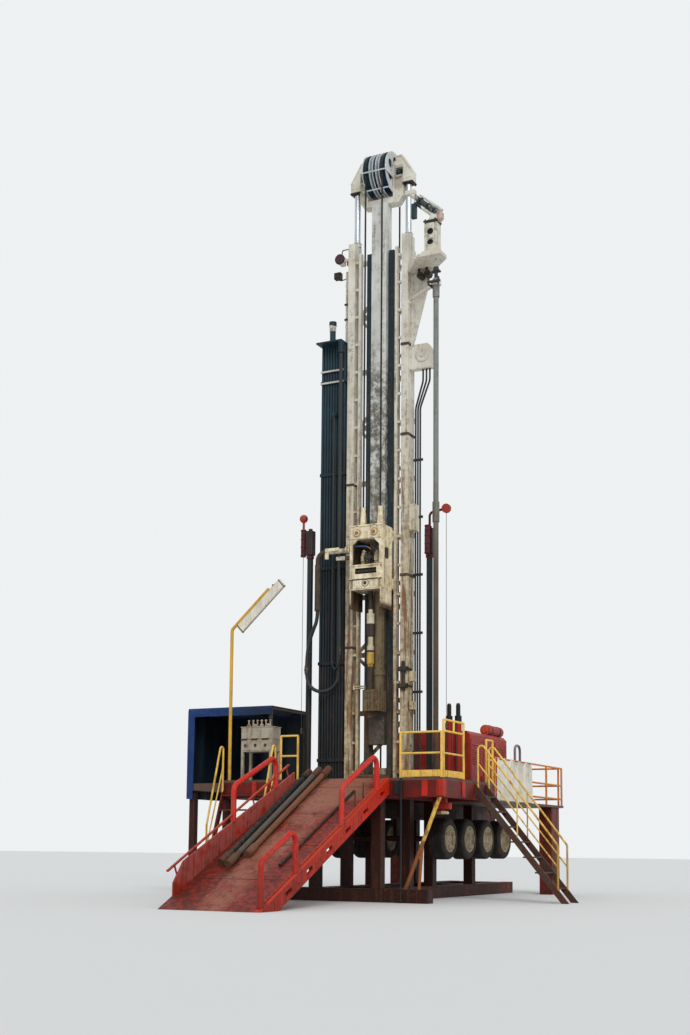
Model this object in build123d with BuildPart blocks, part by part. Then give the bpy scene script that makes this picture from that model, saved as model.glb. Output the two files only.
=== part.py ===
# Hydraulic drilling rig with a telescoping mast, a raised drill floor and a pipe ramp.
# Millimetres. The origin is on the ground under the foot of the mast, on the centre line.
# X runs to the right of the machine, Y runs back along the trailer, Z runs up.
import math
import os

from build123d import *

os.makedirs("parts", exist_ok=True)

# drill floor
floor_top = 2800
floor_plate = 60
floor_beam_depth = 380
floor_front = -1750
floor_back = 1500
floor_right = 2450
floor_left = -3300
edge_beam = 250
well_y = -420
well_radius = 280
seat_gap = 0.3

# substructure
runner_height = 300
runner_width = 300
column_x = 800
column_size = 240
column_rows = (-1600, 0, 1375, 3950)
outrigger_reach = 2100

# trailer
trailer_back = 6800
rear_floor_top = 2400
rear_floor_plate = 60
chassis_x = 450
chassis_width = 140
chassis_depth = 390
axle_rows = (850, 2100, 3350, 4600)
axle_height = 1450
axle_diameter = 120
bracket_width = 100
bracket_length = 220
wheel_inner_x = 1140
wheel_width = 420
tyre_radius = 500
rim_radius = 325

# ramp
ramp_half_width = 1150
ramp_run = 5750
ramp_plate = 30
ramp_beam_depth = 300
ramp_beam_width = 60
ramp_wall_height = 520
guard_tube = 120

# mast
post_x = 745
post_width = 190
post_front = -120
post_back = 260
post_top = 16500
rail_inner_x = 470
rail_outer_x = 540
rail_depth = 120
rail_top = 16200
rail_bracket_pitch = 720
channel_inner_x = 235
channel_outer_x = 375
bracing_thickness = 80
column_half_width = 205
column_front = -70
column_back = 240
column_bottom = 3700

# crown and hoist
crown_base = 17450
crown_plate = 150
rod_pad_z = 17950
rod_pad = 130
sheave_centre_y = 140
sheave_centre_z = 18270
rope_pitch_radius = 530
rope_diameter = 45
rope_x = 230
sheave_width = 216
middle_sheave = 110
sheave_flange = 45
flange_width = 24
hub_diameter = 300
shaft_diameter = 160
shaft_clearance = 0.1
shaft_spare = 120
cheek_plate = 50
rod_x = 720
rod_y = 150
rod_diameter = 155
rod_length = 5750
rod_clearance = 2
gland_height = 80
bore_spare = 900

# carriage and top drive
carriage_half_width = 420
carriage_front = -720
carriage_back = -130
carriage_low = 7400
carriage_high = 9000
carriage_side = 60
motor_diameter = 190
quill_diameter = 160
quill_low = 4300
handler_x = 150
handler_y = -250
handler_diameter = 250

# davits
davit_left_x = -1800
davit_left_y = -200
davit_left_top = 8400
davit_right_x = 1570
davit_right_y = -450
davit_right_top = 8100
davit_post = 150
winch_diameter = 130
winch_length = 700
line_diameter = 12

# stairs and rails
stair_rise = 350
stair_run = 288
right_stair_near = 250
right_stair_far = 950
left_stair_right = -1800
left_stair_left = -3250
left_stair_run = 128
stringer_depth = 140
stringer_width = 40
tread_thickness = 35
tread_depth = 240
rail_tube = 48
knee_tube = 34
post_tube = 54
rail_height = 1050
knee_height = 550

# derived levels
floor_under = floor_top - floor_plate
beam_under = floor_under - floor_beam_depth
rear_floor_under = rear_floor_top - rear_floor_plate
chassis_under = rear_floor_under - chassis_depth
ramp_angle = math.degrees(math.atan2(floor_top, ramp_run))


def save(piece, name):
    """Label a finished piece and write its file."""
    piece.part.label = name
    export_step(piece.part, f"parts/{name}.step")


def block(x0, x1, y0, y1, z0, z1, mode=Mode.ADD):
    """Add a box between two corners to the part being built."""
    with Locations(((x0 + x1) / 2, (y0 + y1) / 2, (z0 + z1) / 2)):
        Box(x1 - x0, y1 - y0, z1 - z0, mode=mode)


def upright(x, y, z0, z1, diameter, mode=Mode.ADD):
    """Add a round bar that stands along Z."""
    with Locations((x, y, (z0 + z1) / 2)):
        Cylinder(diameter / 2, z1 - z0, mode=mode)


def rod(start, end, diameter, mode=Mode.ADD):
    """Add a round bar between two points."""
    along = Vector(end) - Vector(start)
    with BuildSketch(Plane(origin=start, z_dir=along)) as section:
        Circle(diameter / 2)
    extrude(section.sketch, amount=along.length, mode=mode)


def bar(start, end, width, depth, side=(1, 0, 0)):
    """Add a rectangular bar between two points, its width along the side direction."""
    along = Vector(end) - Vector(start)
    with BuildSketch(Plane(origin=start, x_dir=side, z_dir=along)) as section:
        Rectangle(width, depth)
    extrude(section.sketch, amount=along.length)


def bent_tube(points, diameter, bend):
    """Add a tube along straight runs joined by arcs, with one bend radius or one for each corner."""
    with BuildLine() as path:
        FilletPolyline(*points, radius=bend)
    with BuildSketch(Plane(origin=path.line @ 0, z_dir=path.line % 0)) as section:
        Circle(diameter / 2)
    sweep(section.sketch, path=path.line)


def plate_xz(points, y0, y1, mode=Mode.ADD):
    """Add a plate drawn in the XZ plane between two Y positions."""
    with BuildSketch(Plane(origin=(0, y1, 0), x_dir=(1, 0, 0), z_dir=(0, -1, 0))) as profile:
        with BuildLine():
            Polyline(*points, close=True)
        make_face()
    extrude(profile.sketch, amount=y1 - y0, mode=mode)


def plate_yz(points, x0, x1, mode=Mode.ADD):
    """Add a plate drawn in the YZ plane between two X positions."""
    with BuildSketch(Plane(origin=(x0, 0, 0), x_dir=(0, 1, 0), z_dir=(1, 0, 0))) as profile:
        with BuildLine():
            Polyline(*points, close=True)
        make_face()
    extrude(profile.sketch, amount=x1 - x0, mode=mode)


def cord_radii(points, name):
    """Bend radii for a cord's corners: 0.45 of the shorter run over the tangent of half the turn."""
    radii = []
    for before, corner, after in zip(points, points[1:], points[2:]):
        first = Vector(*corner) - Vector(*before)
        second = Vector(*after) - Vector(*corner)
        turn = math.radians(first.get_angle(second))
        radii.append(0.45 * min(first.length, second.length) / math.tan(turn / 2))
    print(name, "bend radii", [round(r) for r in radii])
    return radii


def cord(points, diameter, name):
    """Add a cord's tube along its route."""
    bent_tube(points, diameter, cord_radii(points, name))


def railing(start, end, top_height, heights, posts, tube=rail_tube):
    """Add a straight railing: posts standing on the line, and rails at the given heights."""
    a = Vector(*start)
    b = Vector(*end)
    for k in range(posts):
        foot = a + (b - a) * (k / (posts - 1))
        upright(foot.X, foot.Y, foot.Z, foot.Z + top_height - tube / 2, post_tube)
    for height in heights:
        lift = Vector(0, 0, height)
        rod(a + lift, b + lift, tube)


# base frame: two runners, the front outrigger beam, the beam under the mast and the rear ties
front_beam_back = floor_front + 300
runner_inner = column_x - runner_width / 2
tie_rows = (60, 3950, 6400)
with BuildPart() as base_frame:
    block(-outrigger_reach, outrigger_reach, floor_front, front_beam_back, 0, runner_height)
    for side in (-1, 1):
        near = side * runner_inner
        far = side * (runner_inner + runner_width)
        block(min(near, far), max(near, far), front_beam_back + seat_gap, trailer_back, 0, runner_height)
    tie_end = runner_inner - seat_gap
    for y in tie_rows:
        block(-tie_end, tie_end, y - runner_width / 2, y + runner_width / 2, 0, runner_height)
save(base_frame, "base_frame")

# columns between the base and the floor beams, and the legs that stand on the ground
leg_size = 160
wing_leg_x = floor_left + leg_size / 2 + 20
shelter_left = -5150
shelter_right = -2700
shelter_front = -450
shelter_back = 1450
shelter_floor_depth = 180
rear_leg_x = 2225
rear_leg_rows = (5900, 6550)
with BuildPart() as columns:
    half = column_size / 2
    for y in column_rows:
        for side in (-1, 1):
            x = side * column_x
            top = beam_under if y < floor_back else rear_floor_under
            block(x - half, x + half, y - half, y + half, runner_height, top)
    half = leg_size / 2
    for y in (floor_front + edge_beam / 2, floor_back - edge_beam / 2):
        block(wing_leg_x - half, wing_leg_x + half, y - half, y + half, 0, beam_under)
    for y in (shelter_front + 150, shelter_back - 150):
        x = shelter_left + 100
        block(x - half, x + half, y - half, y + half, 0, floor_top - shelter_floor_depth)
    for side in (-1, 1):
        x = side * rear_leg_x
        block(x - 175, x + 175, rear_leg_rows[0], rear_leg_rows[1], 0, rear_floor_under)
save(columns, "columns")

# floor frame: edge beams at the front and back, and beams between them
floor_beam_rows = (
    (floor_left, floor_left + 200),
    (-2150, -1990),
    (-column_x - 160, -column_x + 160),
    (column_x - 160, column_x + 160),
    (floor_right - 200, floor_right),
)
with BuildPart() as floor_frame:
    block(floor_left, floor_right, floor_front, floor_front + edge_beam, beam_under, floor_under)
    block(floor_left, floor_right, floor_back - edge_beam, floor_back, beam_under, floor_under)
    beam_start = floor_front + edge_beam + seat_gap
    beam_end = floor_back - edge_beam - seat_gap
    for x0, x1 in floor_beam_rows:
        block(x0, x1, beam_start, beam_end, beam_under, floor_under)
save(floor_frame, "floor_frame")

# floor plates: the drill floor with the opening over the well, the trailer floor and the shelter's floor
with BuildPart() as floor_plates:
    block(floor_left, floor_right, floor_front, floor_back, floor_under, floor_top)
    upright(0, well_y, floor_under - 1, floor_top + 1, 2 * well_radius, mode=Mode.SUBTRACT)
    block(-floor_right, floor_right, floor_back + seat_gap, trailer_back, rear_floor_under, rear_floor_top)
    block(
        shelter_left,
        floor_left - seat_gap,
        shelter_front,
        shelter_back,
        floor_top - shelter_floor_depth,
        floor_top,
    )
save(floor_plates, "floor_plates")

# rotary table: a stepped ring round the well
rotary_height = 130
rotary_outer = 490
with BuildPart() as rotary_table:
    with BuildSketch(Plane.XY.offset(floor_top)) as ring:
        with Locations((0, well_y)):
            Circle(rotary_outer)
            Circle(well_radius, mode=Mode.SUBTRACT)
    extrude(amount=rotary_height)
    top_circles = rotary_table.edges().filter_by(GeomType.CIRCLE).group_by(Axis.Z)[-1]
    chamfer(top_circles.sort_by(SortBy.RADIUS)[-1], 40)
save(rotary_table, "rotary_table")


# ramp: the sloping plate between the ground and the front of the floor
def ramp_z(y):
    """Height of the ramp's top surface at a place along it."""
    return floor_top * (y - (floor_front - ramp_run)) / ramp_run


ramp_foot = floor_front - ramp_run
ramp_top = floor_front - seat_gap
slope = math.radians(ramp_angle)
plate_drop = ramp_plate / math.cos(slope)
beam_drop = ramp_beam_depth / math.cos(slope)
foot_clip = ramp_foot + plate_drop * ramp_run / floor_top
deck_under = ramp_z(ramp_top) - plate_drop
with BuildPart() as ramp_deck:
    plate_yz(
        [(ramp_foot, 0), (ramp_top, ramp_z(ramp_top)), (ramp_top, deck_under), (foot_clip, 0)],
        -ramp_half_width,
        ramp_half_width,
    )
save(ramp_deck, "ramp_deck")

# ramp sides: the side beams with slots through their webs, and the wall on the left edge
slot_length = 260
slot_height = 90
slot_count = 6
wall_plate = 40
wall_start = ramp_foot + 500
wall_end = floor_front - 350
with BuildPart() as ramp_sides:
    beam_foot = foot_clip + beam_drop * ramp_run / floor_top
    top_low = deck_under - beam_drop
    profile = [
        (foot_clip, 0),
        (ramp_top, deck_under),
        (ramp_top, top_low),
        (beam_foot, 0),
    ]
    for side in (-1, 1):
        outer = side * ramp_half_width
        web_ends = sorted((outer, outer - side * ramp_beam_width))
        plate_yz(profile, web_ends[0], web_ends[1])
    for k in range(slot_count):
        y = ramp_foot + 1150 + k * (ramp_run - 1500) / (slot_count - 1)
        z = ramp_z(y) - plate_drop - beam_drop / 2
        with Locations(Location((0, y, z), (ramp_angle, 0, 0))):
            Box(2 * ramp_half_width + 10, slot_length, slot_height, mode=Mode.SUBTRACT)
    plate_yz(
        [
            (wall_start, ramp_z(wall_start)),
            (wall_end, ramp_z(wall_end)),
            (wall_end, ramp_z(wall_end) + ramp_wall_height * 0.6),
            (wall_start + 350, ramp_z(wall_start + 350) + ramp_wall_height),
            (wall_start, ramp_z(wall_start) + ramp_wall_height * 0.5),
        ],
        -ramp_half_width,
        -ramp_half_width + wall_plate,
    )
save(ramp_sides, "ramp_sides")

# ramp guards: three bent tube hoops beside the ramp
guard_bend = 170
guard_x = ramp_half_width - guard_tube / 2


def wall_top_z(y):
    """Height of the side wall's top edge."""
    high = wall_start + 350
    share = (y - high) / (wall_end - high)
    start = ramp_z(high) + ramp_wall_height
    return start + share * (ramp_z(wall_end) + ramp_wall_height * 0.6 - start)


with BuildPart() as ramp_guards:
    upper_low = -4000
    upper_high = -2300
    foot_dip = 60
    bent_tube(
        [
            (guard_x, upper_low, ramp_z(upper_low) - foot_dip),
            (guard_x, upper_low, ramp_z(upper_low) + 780),
            (guard_x, upper_high, ramp_z(upper_high) + 780),
            (guard_x, upper_high, ramp_z(upper_high) - foot_dip),
        ],
        guard_tube,
        guard_bend,
    )
    lower_foot = -7350
    lower_post = -6000
    lower_height = 870
    bent_tube(
        [
            (guard_x, lower_foot, ramp_z(lower_foot) - foot_dip),
            (guard_x, lower_foot, ramp_z(lower_foot) + lower_height),
            (guard_x, lower_post, ramp_z(lower_post) + lower_height),
            (guard_x, lower_post, ramp_z(lower_post) - foot_dip),
        ],
        guard_tube,
        guard_bend,
    )
    with BuildSketch(Plane.YZ.offset(guard_x - guard_tube)) as below_ramp:
        with BuildLine():
            Polyline(
                (ramp_foot - 400, -400),
                (ramp_foot - 400, ramp_z(ramp_foot - 400)),
                (floor_front, ramp_z(floor_front)),
                (floor_front, -400),
                close=True,
            )
        make_face()
    extrude(below_ramp.sketch, amount=2 * guard_tube, mode=Mode.SUBTRACT)
    wall_guard_x = -ramp_half_width + wall_plate / 2
    low = -4750
    high = -2950
    bent_tube(
        [
            (wall_guard_x, low, wall_top_z(low) - foot_dip),
            (wall_guard_x, low, ramp_z(low) + 1180),
            (wall_guard_x, high, ramp_z(high) + 1060),
            (wall_guard_x, high, wall_top_z(high) - foot_dip),
        ],
        guard_tube,
        guard_bend,
    )
    with BuildSketch(Plane.YZ.offset(wall_guard_x - guard_tube)) as below_wall:
        with BuildLine():
            Polyline(
                (low - 300, -400),
                (low - 300, wall_top_z(low - 300)),
                (high + 300, wall_top_z(high + 300)),
                (high + 300, -400),
                close=True,
            )
        make_face()
    extrude(below_wall.sketch, amount=2 * guard_tube, mode=Mode.SUBTRACT)
save(ramp_guards, "ramp_guards")

# drill pipes lying on the ramp, leaning to the left, their heads reaching over the floor's edge
pipe_diameter = 127
joint_diameter = 168
ramp_pipe_x = (-740, -530, -320)
ramp_pipe_start = (1870, 1800, 2250)
ramp_pipe_lean = 0.055
ramp_pipe_length = (4750, 4950, 4550)
joint_length = 380
up_slope = Vector(0, math.cos(slope), math.sin(slope))
off_slope = Vector(0, -math.sin(slope), math.cos(slope))
pipe_line = (up_slope - Vector(ramp_pipe_lean, 0, 0)).normalized()
with BuildPart() as ramp_pipes:
    for x, start, length in zip(ramp_pipe_x, ramp_pipe_start, ramp_pipe_length):
        foot = Vector(x, ramp_foot, 0) + up_slope * start + off_slope * (joint_diameter / 2 + seat_gap)
        head = foot + pipe_line * length
        rod(foot, head, pipe_diameter)
        rod(foot, foot + pipe_line * joint_length, joint_diameter)
        rod(head - pipe_line * joint_length, head, joint_diameter)
    bar_diameter = 60
    foot = Vector(620, ramp_foot, 0) + up_slope * 1900 + off_slope * (bar_diameter / 2 + seat_gap)
    rod(foot, foot + up_slope * 3700, bar_diameter)
save(ramp_pipes, "ramp_pipes")


# stairs: stringers, treads and handrails
def stringer(x_top, z_top, x_low, y0, y1):
    """Add a stringer for a stair that falls towards +X."""
    fall = z_top / (x_low - x_top)
    drop = stringer_depth * math.sqrt(1 + fall * fall)
    plate_xz(
        [(x_top, z_top), (x_low, 0), (x_low - drop / fall, 0), (x_top, z_top - drop)],
        y0,
        y1,
    )


right_treads = 7
right_stair_top_x = floor_right + seat_gap
right_stair_line_top = floor_top - 60
right_stair_foot_x = right_stair_top_x + right_stair_line_top * stair_run / stair_rise
with BuildPart() as right_stair:
    for y in (right_stair_near, right_stair_far):
        near = y - stringer_width / 2
        stringer(right_stair_top_x, right_stair_line_top, right_stair_foot_x, near, near + stringer_width)
    for k in range(right_treads):
        z = floor_top - stair_rise * (k + 1)
        x = right_stair_top_x + (right_stair_line_top - z) * stair_run / stair_rise - tread_depth / 2
        block(
            max(x - tread_depth / 2, right_stair_top_x),
            x + tread_depth / 2,
            right_stair_near + stringer_width / 2 + seat_gap,
            right_stair_far - stringer_width / 2 - seat_gap,
            z - tread_thickness,
            z,
        )
save(right_stair, "right_stair")


def right_stair_z(x):
    """Height of the right stair's nosing line."""
    return right_stair_line_top - (x - right_stair_top_x) * stair_rise / stair_run


# left stair: steep, falling towards the front
left_treads = 7
left_top_y = floor_front - seat_gap
left_line_top = floor_top - 60
left_foot_y = left_top_y - left_line_top * left_stair_run / stair_rise
left_fall = stair_rise / left_stair_run
left_drop = stringer_depth * math.sqrt(1 + left_fall * left_fall)
with BuildPart() as left_stair:
    profile = [
        (left_top_y, left_line_top),
        (left_foot_y, 0),
        (left_foot_y + left_drop / left_fall, 0),
        (left_top_y, left_line_top - left_drop),
    ]
    for x in (left_stair_left, left_stair_right):
        plate_yz(profile, x - stringer_width / 2, x + stringer_width / 2)
    for k in range(left_treads):
        z = floor_top - stair_rise * (k + 1)
        y = left_top_y - (left_line_top - z) * left_stair_run / stair_rise + tread_depth / 2
        block(
            left_stair_left + stringer_width / 2 + seat_gap,
            left_stair_right - stringer_width / 2 - seat_gap,
            y - tread_depth / 2,
            min(y + tread_depth / 2, left_top_y),
            z - tread_thickness,
            z,
        )
save(left_stair, "left_stair")


def left_stair_z(y):
    """Height of the left stair's nosing line."""
    return left_line_top - (left_top_y - y) * left_fall


# handrails of both stairs, cut off along the stringers' top edges
rail_inset = 60
rail_end_inset = 260
rail_foot_length = 120
left_rail_lift = 380
with BuildPart() as stair_rails:
    for y in (right_stair_near, right_stair_far):
        top_x = right_stair_top_x + rail_inset
        low_x = right_stair_foot_x - rail_end_inset
        top_z = right_stair_z(top_x)
        low_z = right_stair_z(low_x)
        bent_tube(
            [
                (top_x, y, top_z - rail_foot_length),
                (top_x, y, top_z + rail_height + 80),
                (low_x, y, low_z + rail_height - 50),
                (low_x, y, low_z - rail_foot_length),
            ],
            rail_tube,
            90,
        )
        rod((top_x, y, top_z + knee_height), (low_x, y, low_z + knee_height - 50), knee_tube)
        mid_x = (top_x + low_x) / 2
        mid_z = right_stair_z(mid_x)
        upright(mid_x, y, mid_z - rail_foot_length, mid_z + rail_height, knee_tube)
    plate_xz(
        [
            (right_stair_top_x - rail_end_inset, right_stair_z(right_stair_top_x - rail_end_inset)),
            (right_stair_foot_x, right_stair_z(right_stair_foot_x)),
            (right_stair_foot_x, -stair_rise),
            (right_stair_top_x - rail_end_inset, -stair_rise),
        ],
        right_stair_near - rail_inset,
        right_stair_far + rail_inset,
        mode=Mode.SUBTRACT,
    )
    for x in (left_stair_left, left_stair_right):
        top_y = left_top_y - rail_inset
        low_y = left_foot_y + rail_end_inset
        top_z = left_stair_z(top_y)
        low_z = left_stair_z(low_y)
        bent_tube(
            [
                (x, top_y, top_z - rail_foot_length),
                (x, top_y, top_z + rail_height + left_rail_lift),
                (x, low_y, low_z + rail_height - 50),
                (x, low_y, low_z - rail_foot_length),
            ],
            rail_tube,
            70,
        )
        rod((x, top_y, top_z + knee_height), (x, low_y, low_z + knee_height - 90), knee_tube)
    plate_yz(
        [
            (left_top_y, left_stair_z(left_top_y)),
            (left_foot_y, left_stair_z(left_foot_y)),
            (left_foot_y, -stair_rise),
            (left_top_y, -stair_rise),
        ],
        left_stair_left - rail_inset,
        left_stair_right + rail_inset,
        mode=Mode.SUBTRACT,
    )
save(stair_rails, "stair_rails")

# floor rails: front right panel, side panel with its taller cage, and the left side
edge = 40
cage_height = 1330
with BuildPart() as floor_rails:
    y = floor_front + edge
    rail_end = (floor_right - edge, y, floor_top)
    railing((1400, y, floor_top), rail_end, rail_height, (knee_height, rail_height - rail_tube / 2), 2)
    block(1400, floor_right - edge, y - 6, y + 6, floor_top + 20, floor_top + 170)
    x = floor_right - edge
    y0 = floor_front + 160
    y1 = -400
    cage_rails = (knee_height, rail_height, cage_height - rail_tube / 2)
    railing((x, y0, floor_top), (x, y1, floor_top), cage_height, cage_rails, 2)
    block(x - 6, x + 6, y0, y1, floor_top + 20, floor_top + 170)
    upright(x, (y0 + y1) / 2, floor_top + rail_height, floor_top + cage_height, rail_tube)
    x = floor_right - edge
    railing(
        (x, right_stair_far + 90, floor_top),
        (x, floor_back - edge, floor_top),
        rail_height,
        (knee_height, rail_height - rail_tube / 2),
        2,
    )
    x = floor_left + edge
    y = floor_front + edge
    railing(
        (left_stair_right + 90, y, floor_top),
        (-ramp_half_width - 100, y, floor_top),
        rail_height,
        (knee_height, rail_height - rail_tube / 2),
        2,
    )
save(floor_rails, "floor_rails")

# props under the right wing: a yellow strut with a rusty lower leg
prop_diameter = 90
prop_top = (2330, floor_front + edge_beam / 2, beam_under)
prop_foot = (1500, floor_front + edge_beam / 2, runner_height)
with BuildPart() as floor_props:
    along = Vector(*prop_foot) - Vector(*prop_top)
    above = Vector(*prop_top) - along.normalized() * 200
    below = Vector(*prop_foot) + along.normalized() * 200
    rod(above, below, prop_diameter)
    middle = Vector(*prop_top) + along * 0.5
    leg_foot = Vector(1830, floor_front + edge_beam / 2, runner_height)
    leg = leg_foot - middle
    rod(middle, leg_foot + leg.normalized() * 150, prop_diameter * 0.8)
    block(1000, 2600, floor_front - 200, front_beam_back + 100, beam_under, floor_top, mode=Mode.SUBTRACT)
    block(1000, 2600, floor_front - 200, front_beam_back + 100, -300, runner_height, mode=Mode.SUBTRACT)
save(floor_props, "floor_props")

# trailer frame: two chassis beams, and axles hung from them by brackets
with BuildPart() as trailer_frame:
    for side in (-1, 1):
        x = side * chassis_x
        half = chassis_width / 2
        block(x - half, x + half, 300, trailer_back - 200, chassis_under, rear_floor_under)
    for y in axle_rows:
        with BuildSketch(Plane.YZ.offset(-wheel_inner_x + seat_gap)) as section:
            with Locations((y, axle_height)):
                Circle(axle_diameter / 2)
        extrude(section.sketch, amount=2 * (wheel_inner_x - seat_gap))
        for side in (-1, 1):
            x = side * chassis_x
            block(
                x - bracket_width / 2,
                x + bracket_width / 2,
                y - bracket_length / 2,
                y + bracket_length / 2,
                axle_height + axle_diameter / 2 + seat_gap,
                chassis_under - seat_gap,
            )
save(trailer_frame, "trailer_frame")

# wheels: tyres with dished rims, turned about the axles
hub_depth = 110
hub_recess = 220
tyre_chamfer = 60


def add_wheel(side, y):
    """Add one wheel, its inner face at the end of the axle."""
    inner = wheel_inner_x * side
    dish = wheel_width - hub_recess
    rim_lip = rim_radius - 30
    section = [
        (0, 0),
        (axle_diameter, 0),
        (axle_diameter, 40),
        (rim_lip - 30, 40),
        (rim_lip, 0),
        (tyre_radius - tyre_chamfer, 0),
        (tyre_radius, tyre_chamfer),
        (tyre_radius, wheel_width - tyre_chamfer),
        (tyre_radius - tyre_chamfer, wheel_width),
        (rim_radius, wheel_width),
        (rim_lip, dish + 40),
        (140, dish),
        (120, dish + hub_depth),
        (0, dish + hub_depth),
    ]
    plane = Plane(origin=(inner, y, axle_height), x_dir=(0, 1, 0), z_dir=(0, 0, -side))
    with BuildSketch(plane) as profile:
        with BuildLine():
            Polyline(*section, close=True)
        make_face()
    revolve(profile.sketch, axis=Axis((inner, y, axle_height), (1, 0, 0)))


for k, y in enumerate(axle_rows):
    with BuildPart() as wheel:
        add_wheel(1, y)
    save(wheel, f"wheel_right_{k + 1}")

with BuildPart() as wheels_left:
    for y in axle_rows:
        add_wheel(-1, y)
save(wheels_left, "wheels_left")

# walkway rails round the trailer floor
walkway_rail_x = floor_right - edge
with BuildPart() as walkway_rails:
    railing(
        (walkway_rail_x, floor_back + 120, rear_floor_top),
        (walkway_rail_x, trailer_back - edge, rear_floor_top),
        rail_height,
        (knee_height, rail_height - rail_tube / 2, 180),
        5,
    )
    railing(
        (-walkway_rail_x, floor_back + 120, rear_floor_top),
        (-walkway_rail_x, trailer_back - edge, rear_floor_top),
        rail_height,
        (knee_height, rail_height - rail_tube / 2, 180),
        5,
    )
    railing(
        (-walkway_rail_x + 90, trailer_back - edge, rear_floor_top),
        (walkway_rail_x - 90, trailer_back - edge, rear_floor_top),
        rail_height,
        (knee_height, rail_height - rail_tube / 2, 180),
        5,
    )
save(walkway_rails, "walkway_rails")

# blank cloth sheet hung outside the walkway rail
banner_thickness = 14
banner_near = 1700
banner_width = 2500
banner_foot = 15
with BuildPart() as banner:
    banner_x = walkway_rail_x + post_tube / 2 + seat_gap
    block(
        banner_x,
        banner_x + banner_thickness,
        banner_near,
        banner_near + banner_width,
        rear_floor_top + banner_foot,
        rear_floor_top + rail_height + 10,
    )
save(banner, "banner")

# power pack housing and the tank lying on it
pack_left = -950
pack_right = 1180
pack_near = 3050
pack_far = 5750
pack_top = 4240
tank_diameter = 290
tank_length = 1020
tank_x = 970
tank_near = 4680
with BuildPart() as power_pack:
    block(pack_left, pack_right, pack_near, pack_far, rear_floor_top, pack_top)
    chamfer(power_pack.edges().filter_by(Axis.Y).group_by(Axis.Z)[-1], 90)
    with BuildSketch(Plane.XZ.offset(-tank_near)) as section:
        with Locations((tank_x, pack_top + seat_gap + tank_diameter / 2)):
            Circle(tank_diameter / 2)
    extrude(section.sketch, amount=-tank_length)
save(power_pack, "power_pack")

hoop_tube = 70
hoop_rows = (650, 1350)
hoop_near = 5950
hoop_far = 6350
hoop_top = 4050
with BuildPart() as exhaust_hoops:
    for x in hoop_rows:
        bent_tube(
            [
                (x, hoop_near, rear_floor_top),
                (x, hoop_near, hoop_top),
                (x, hoop_far, hoop_top),
                (x, hoop_far, rear_floor_top),
            ],
            hoop_tube,
            150,
        )
save(exhaust_hoops, "exhaust_hoops")

# mast raising cylinders standing on the floor behind the mast
cylinder_rows = (1380, 1620)
cylinder_y = 1200
cylinder_foot = 60
cylinder_top = 4450
cylinder_diameter = 170
cap_length = 270
with BuildPart() as raising_cylinders:
    for x in cylinder_rows:
        upright(x, cylinder_y, floor_top, floor_top + cylinder_foot, cylinder_diameter + 70)
        upright(x, cylinder_y, floor_top + cylinder_foot, cylinder_top, cylinder_diameter)
        upright(x, cylinder_y, cylinder_top, cylinder_top + cap_length, 110)
save(raising_cylinders, "raising_cylinders")

# operator's shelter on the left
shelter_top = 4700
shelter_post = 70
shelter_edge = 25
with BuildPart() as shelter_frame:
    x0 = shelter_left + shelter_edge
    x1 = shelter_right - shelter_edge
    y0 = shelter_front + shelter_edge
    y1 = shelter_back - shelter_edge
    for x in (x0, x1 - shelter_post):
        for y in (y0, y1 - shelter_post):
            block(x, x + shelter_post, y, y + shelter_post, floor_top, shelter_top - shelter_post - seat_gap)
    block(x0, x1, y0, y1, shelter_top - shelter_post, shelter_top)
    for k in range(2):
        hole0 = x0 + shelter_post + k * (x1 - x0 - shelter_post) / 2
        hole1 = hole0 + (x1 - x0 - shelter_post) / 2 - shelter_post
        block(
            hole0,
            hole1,
            y0 + shelter_post,
            y1 - shelter_post,
            shelter_top - shelter_post - 1,
            shelter_top + 1,
            mode=Mode.SUBTRACT,
        )
save(shelter_frame, "shelter_frame")

tarp_thickness = 16
tarp_gap = 4
tarp_skirt = 350
tarp_curtain = 200
tarp_valance = 200
with BuildPart() as shelter_tarp:
    x0 = shelter_left - tarp_gap - tarp_thickness
    x1 = shelter_right + tarp_gap + tarp_thickness
    y0 = shelter_front - tarp_gap - tarp_thickness
    y1 = shelter_back + tarp_gap + tarp_thickness
    top = shelter_top + seat_gap
    block(x0, x1, y0, y1, top, top + tarp_thickness)
    block(x0, x0 + tarp_thickness, y0, y1, floor_top - tarp_skirt, top)
    block(x0, x1, y1 - tarp_thickness, y1, floor_top + 100, top)
    block(x0, x0 + tarp_curtain, y0, y0 + tarp_thickness, floor_top - tarp_skirt, top)
    block(x0, x1, y0, y0 + tarp_thickness, shelter_top - tarp_valance, top)
save(shelter_tarp, "shelter_tarp")

# control cabinet on its stand near the left stair
cabinet_x0 = -3150
cabinet_x1 = -2300
cabinet_y0 = -1150
cabinet_y1 = -700
cabinet_stand = 720
cabinet_box = 600
cabinet_leg = 60
cabinet_groove = 12
lever_count = 6
lever_height = 160
lever_inset = 150
lever_diameter = 34
with BuildPart() as control_cabinet:
    low = floor_top + cabinet_stand
    for x in (cabinet_x0, cabinet_x1 - cabinet_leg):
        for y in (cabinet_y0, cabinet_y1 - cabinet_leg):
            block(x, x + cabinet_leg, y, y + cabinet_leg, floor_top, low - seat_gap)
    block(cabinet_x0, cabinet_x1, cabinet_y0, cabinet_y1, low, low + cabinet_box)
    groove = low + cabinet_box / 2
    block(
        cabinet_x0,
        cabinet_x1,
        cabinet_y0,
        cabinet_y0 + cabinet_groove,
        groove,
        groove + cabinet_groove,
        mode=Mode.SUBTRACT,
    )
    lever_pitch = (cabinet_x1 - cabinet_x0) / (lever_count + 1)
    for k in range(lever_count):
        x = cabinet_x0 + lever_pitch * (k + 1)
        lever_foot = low + cabinet_box + seat_gap
        upright(x, cabinet_y0 + lever_inset, lever_foot, lever_foot + lever_height, lever_diameter)
save(control_cabinet, "control_cabinet")

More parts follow.
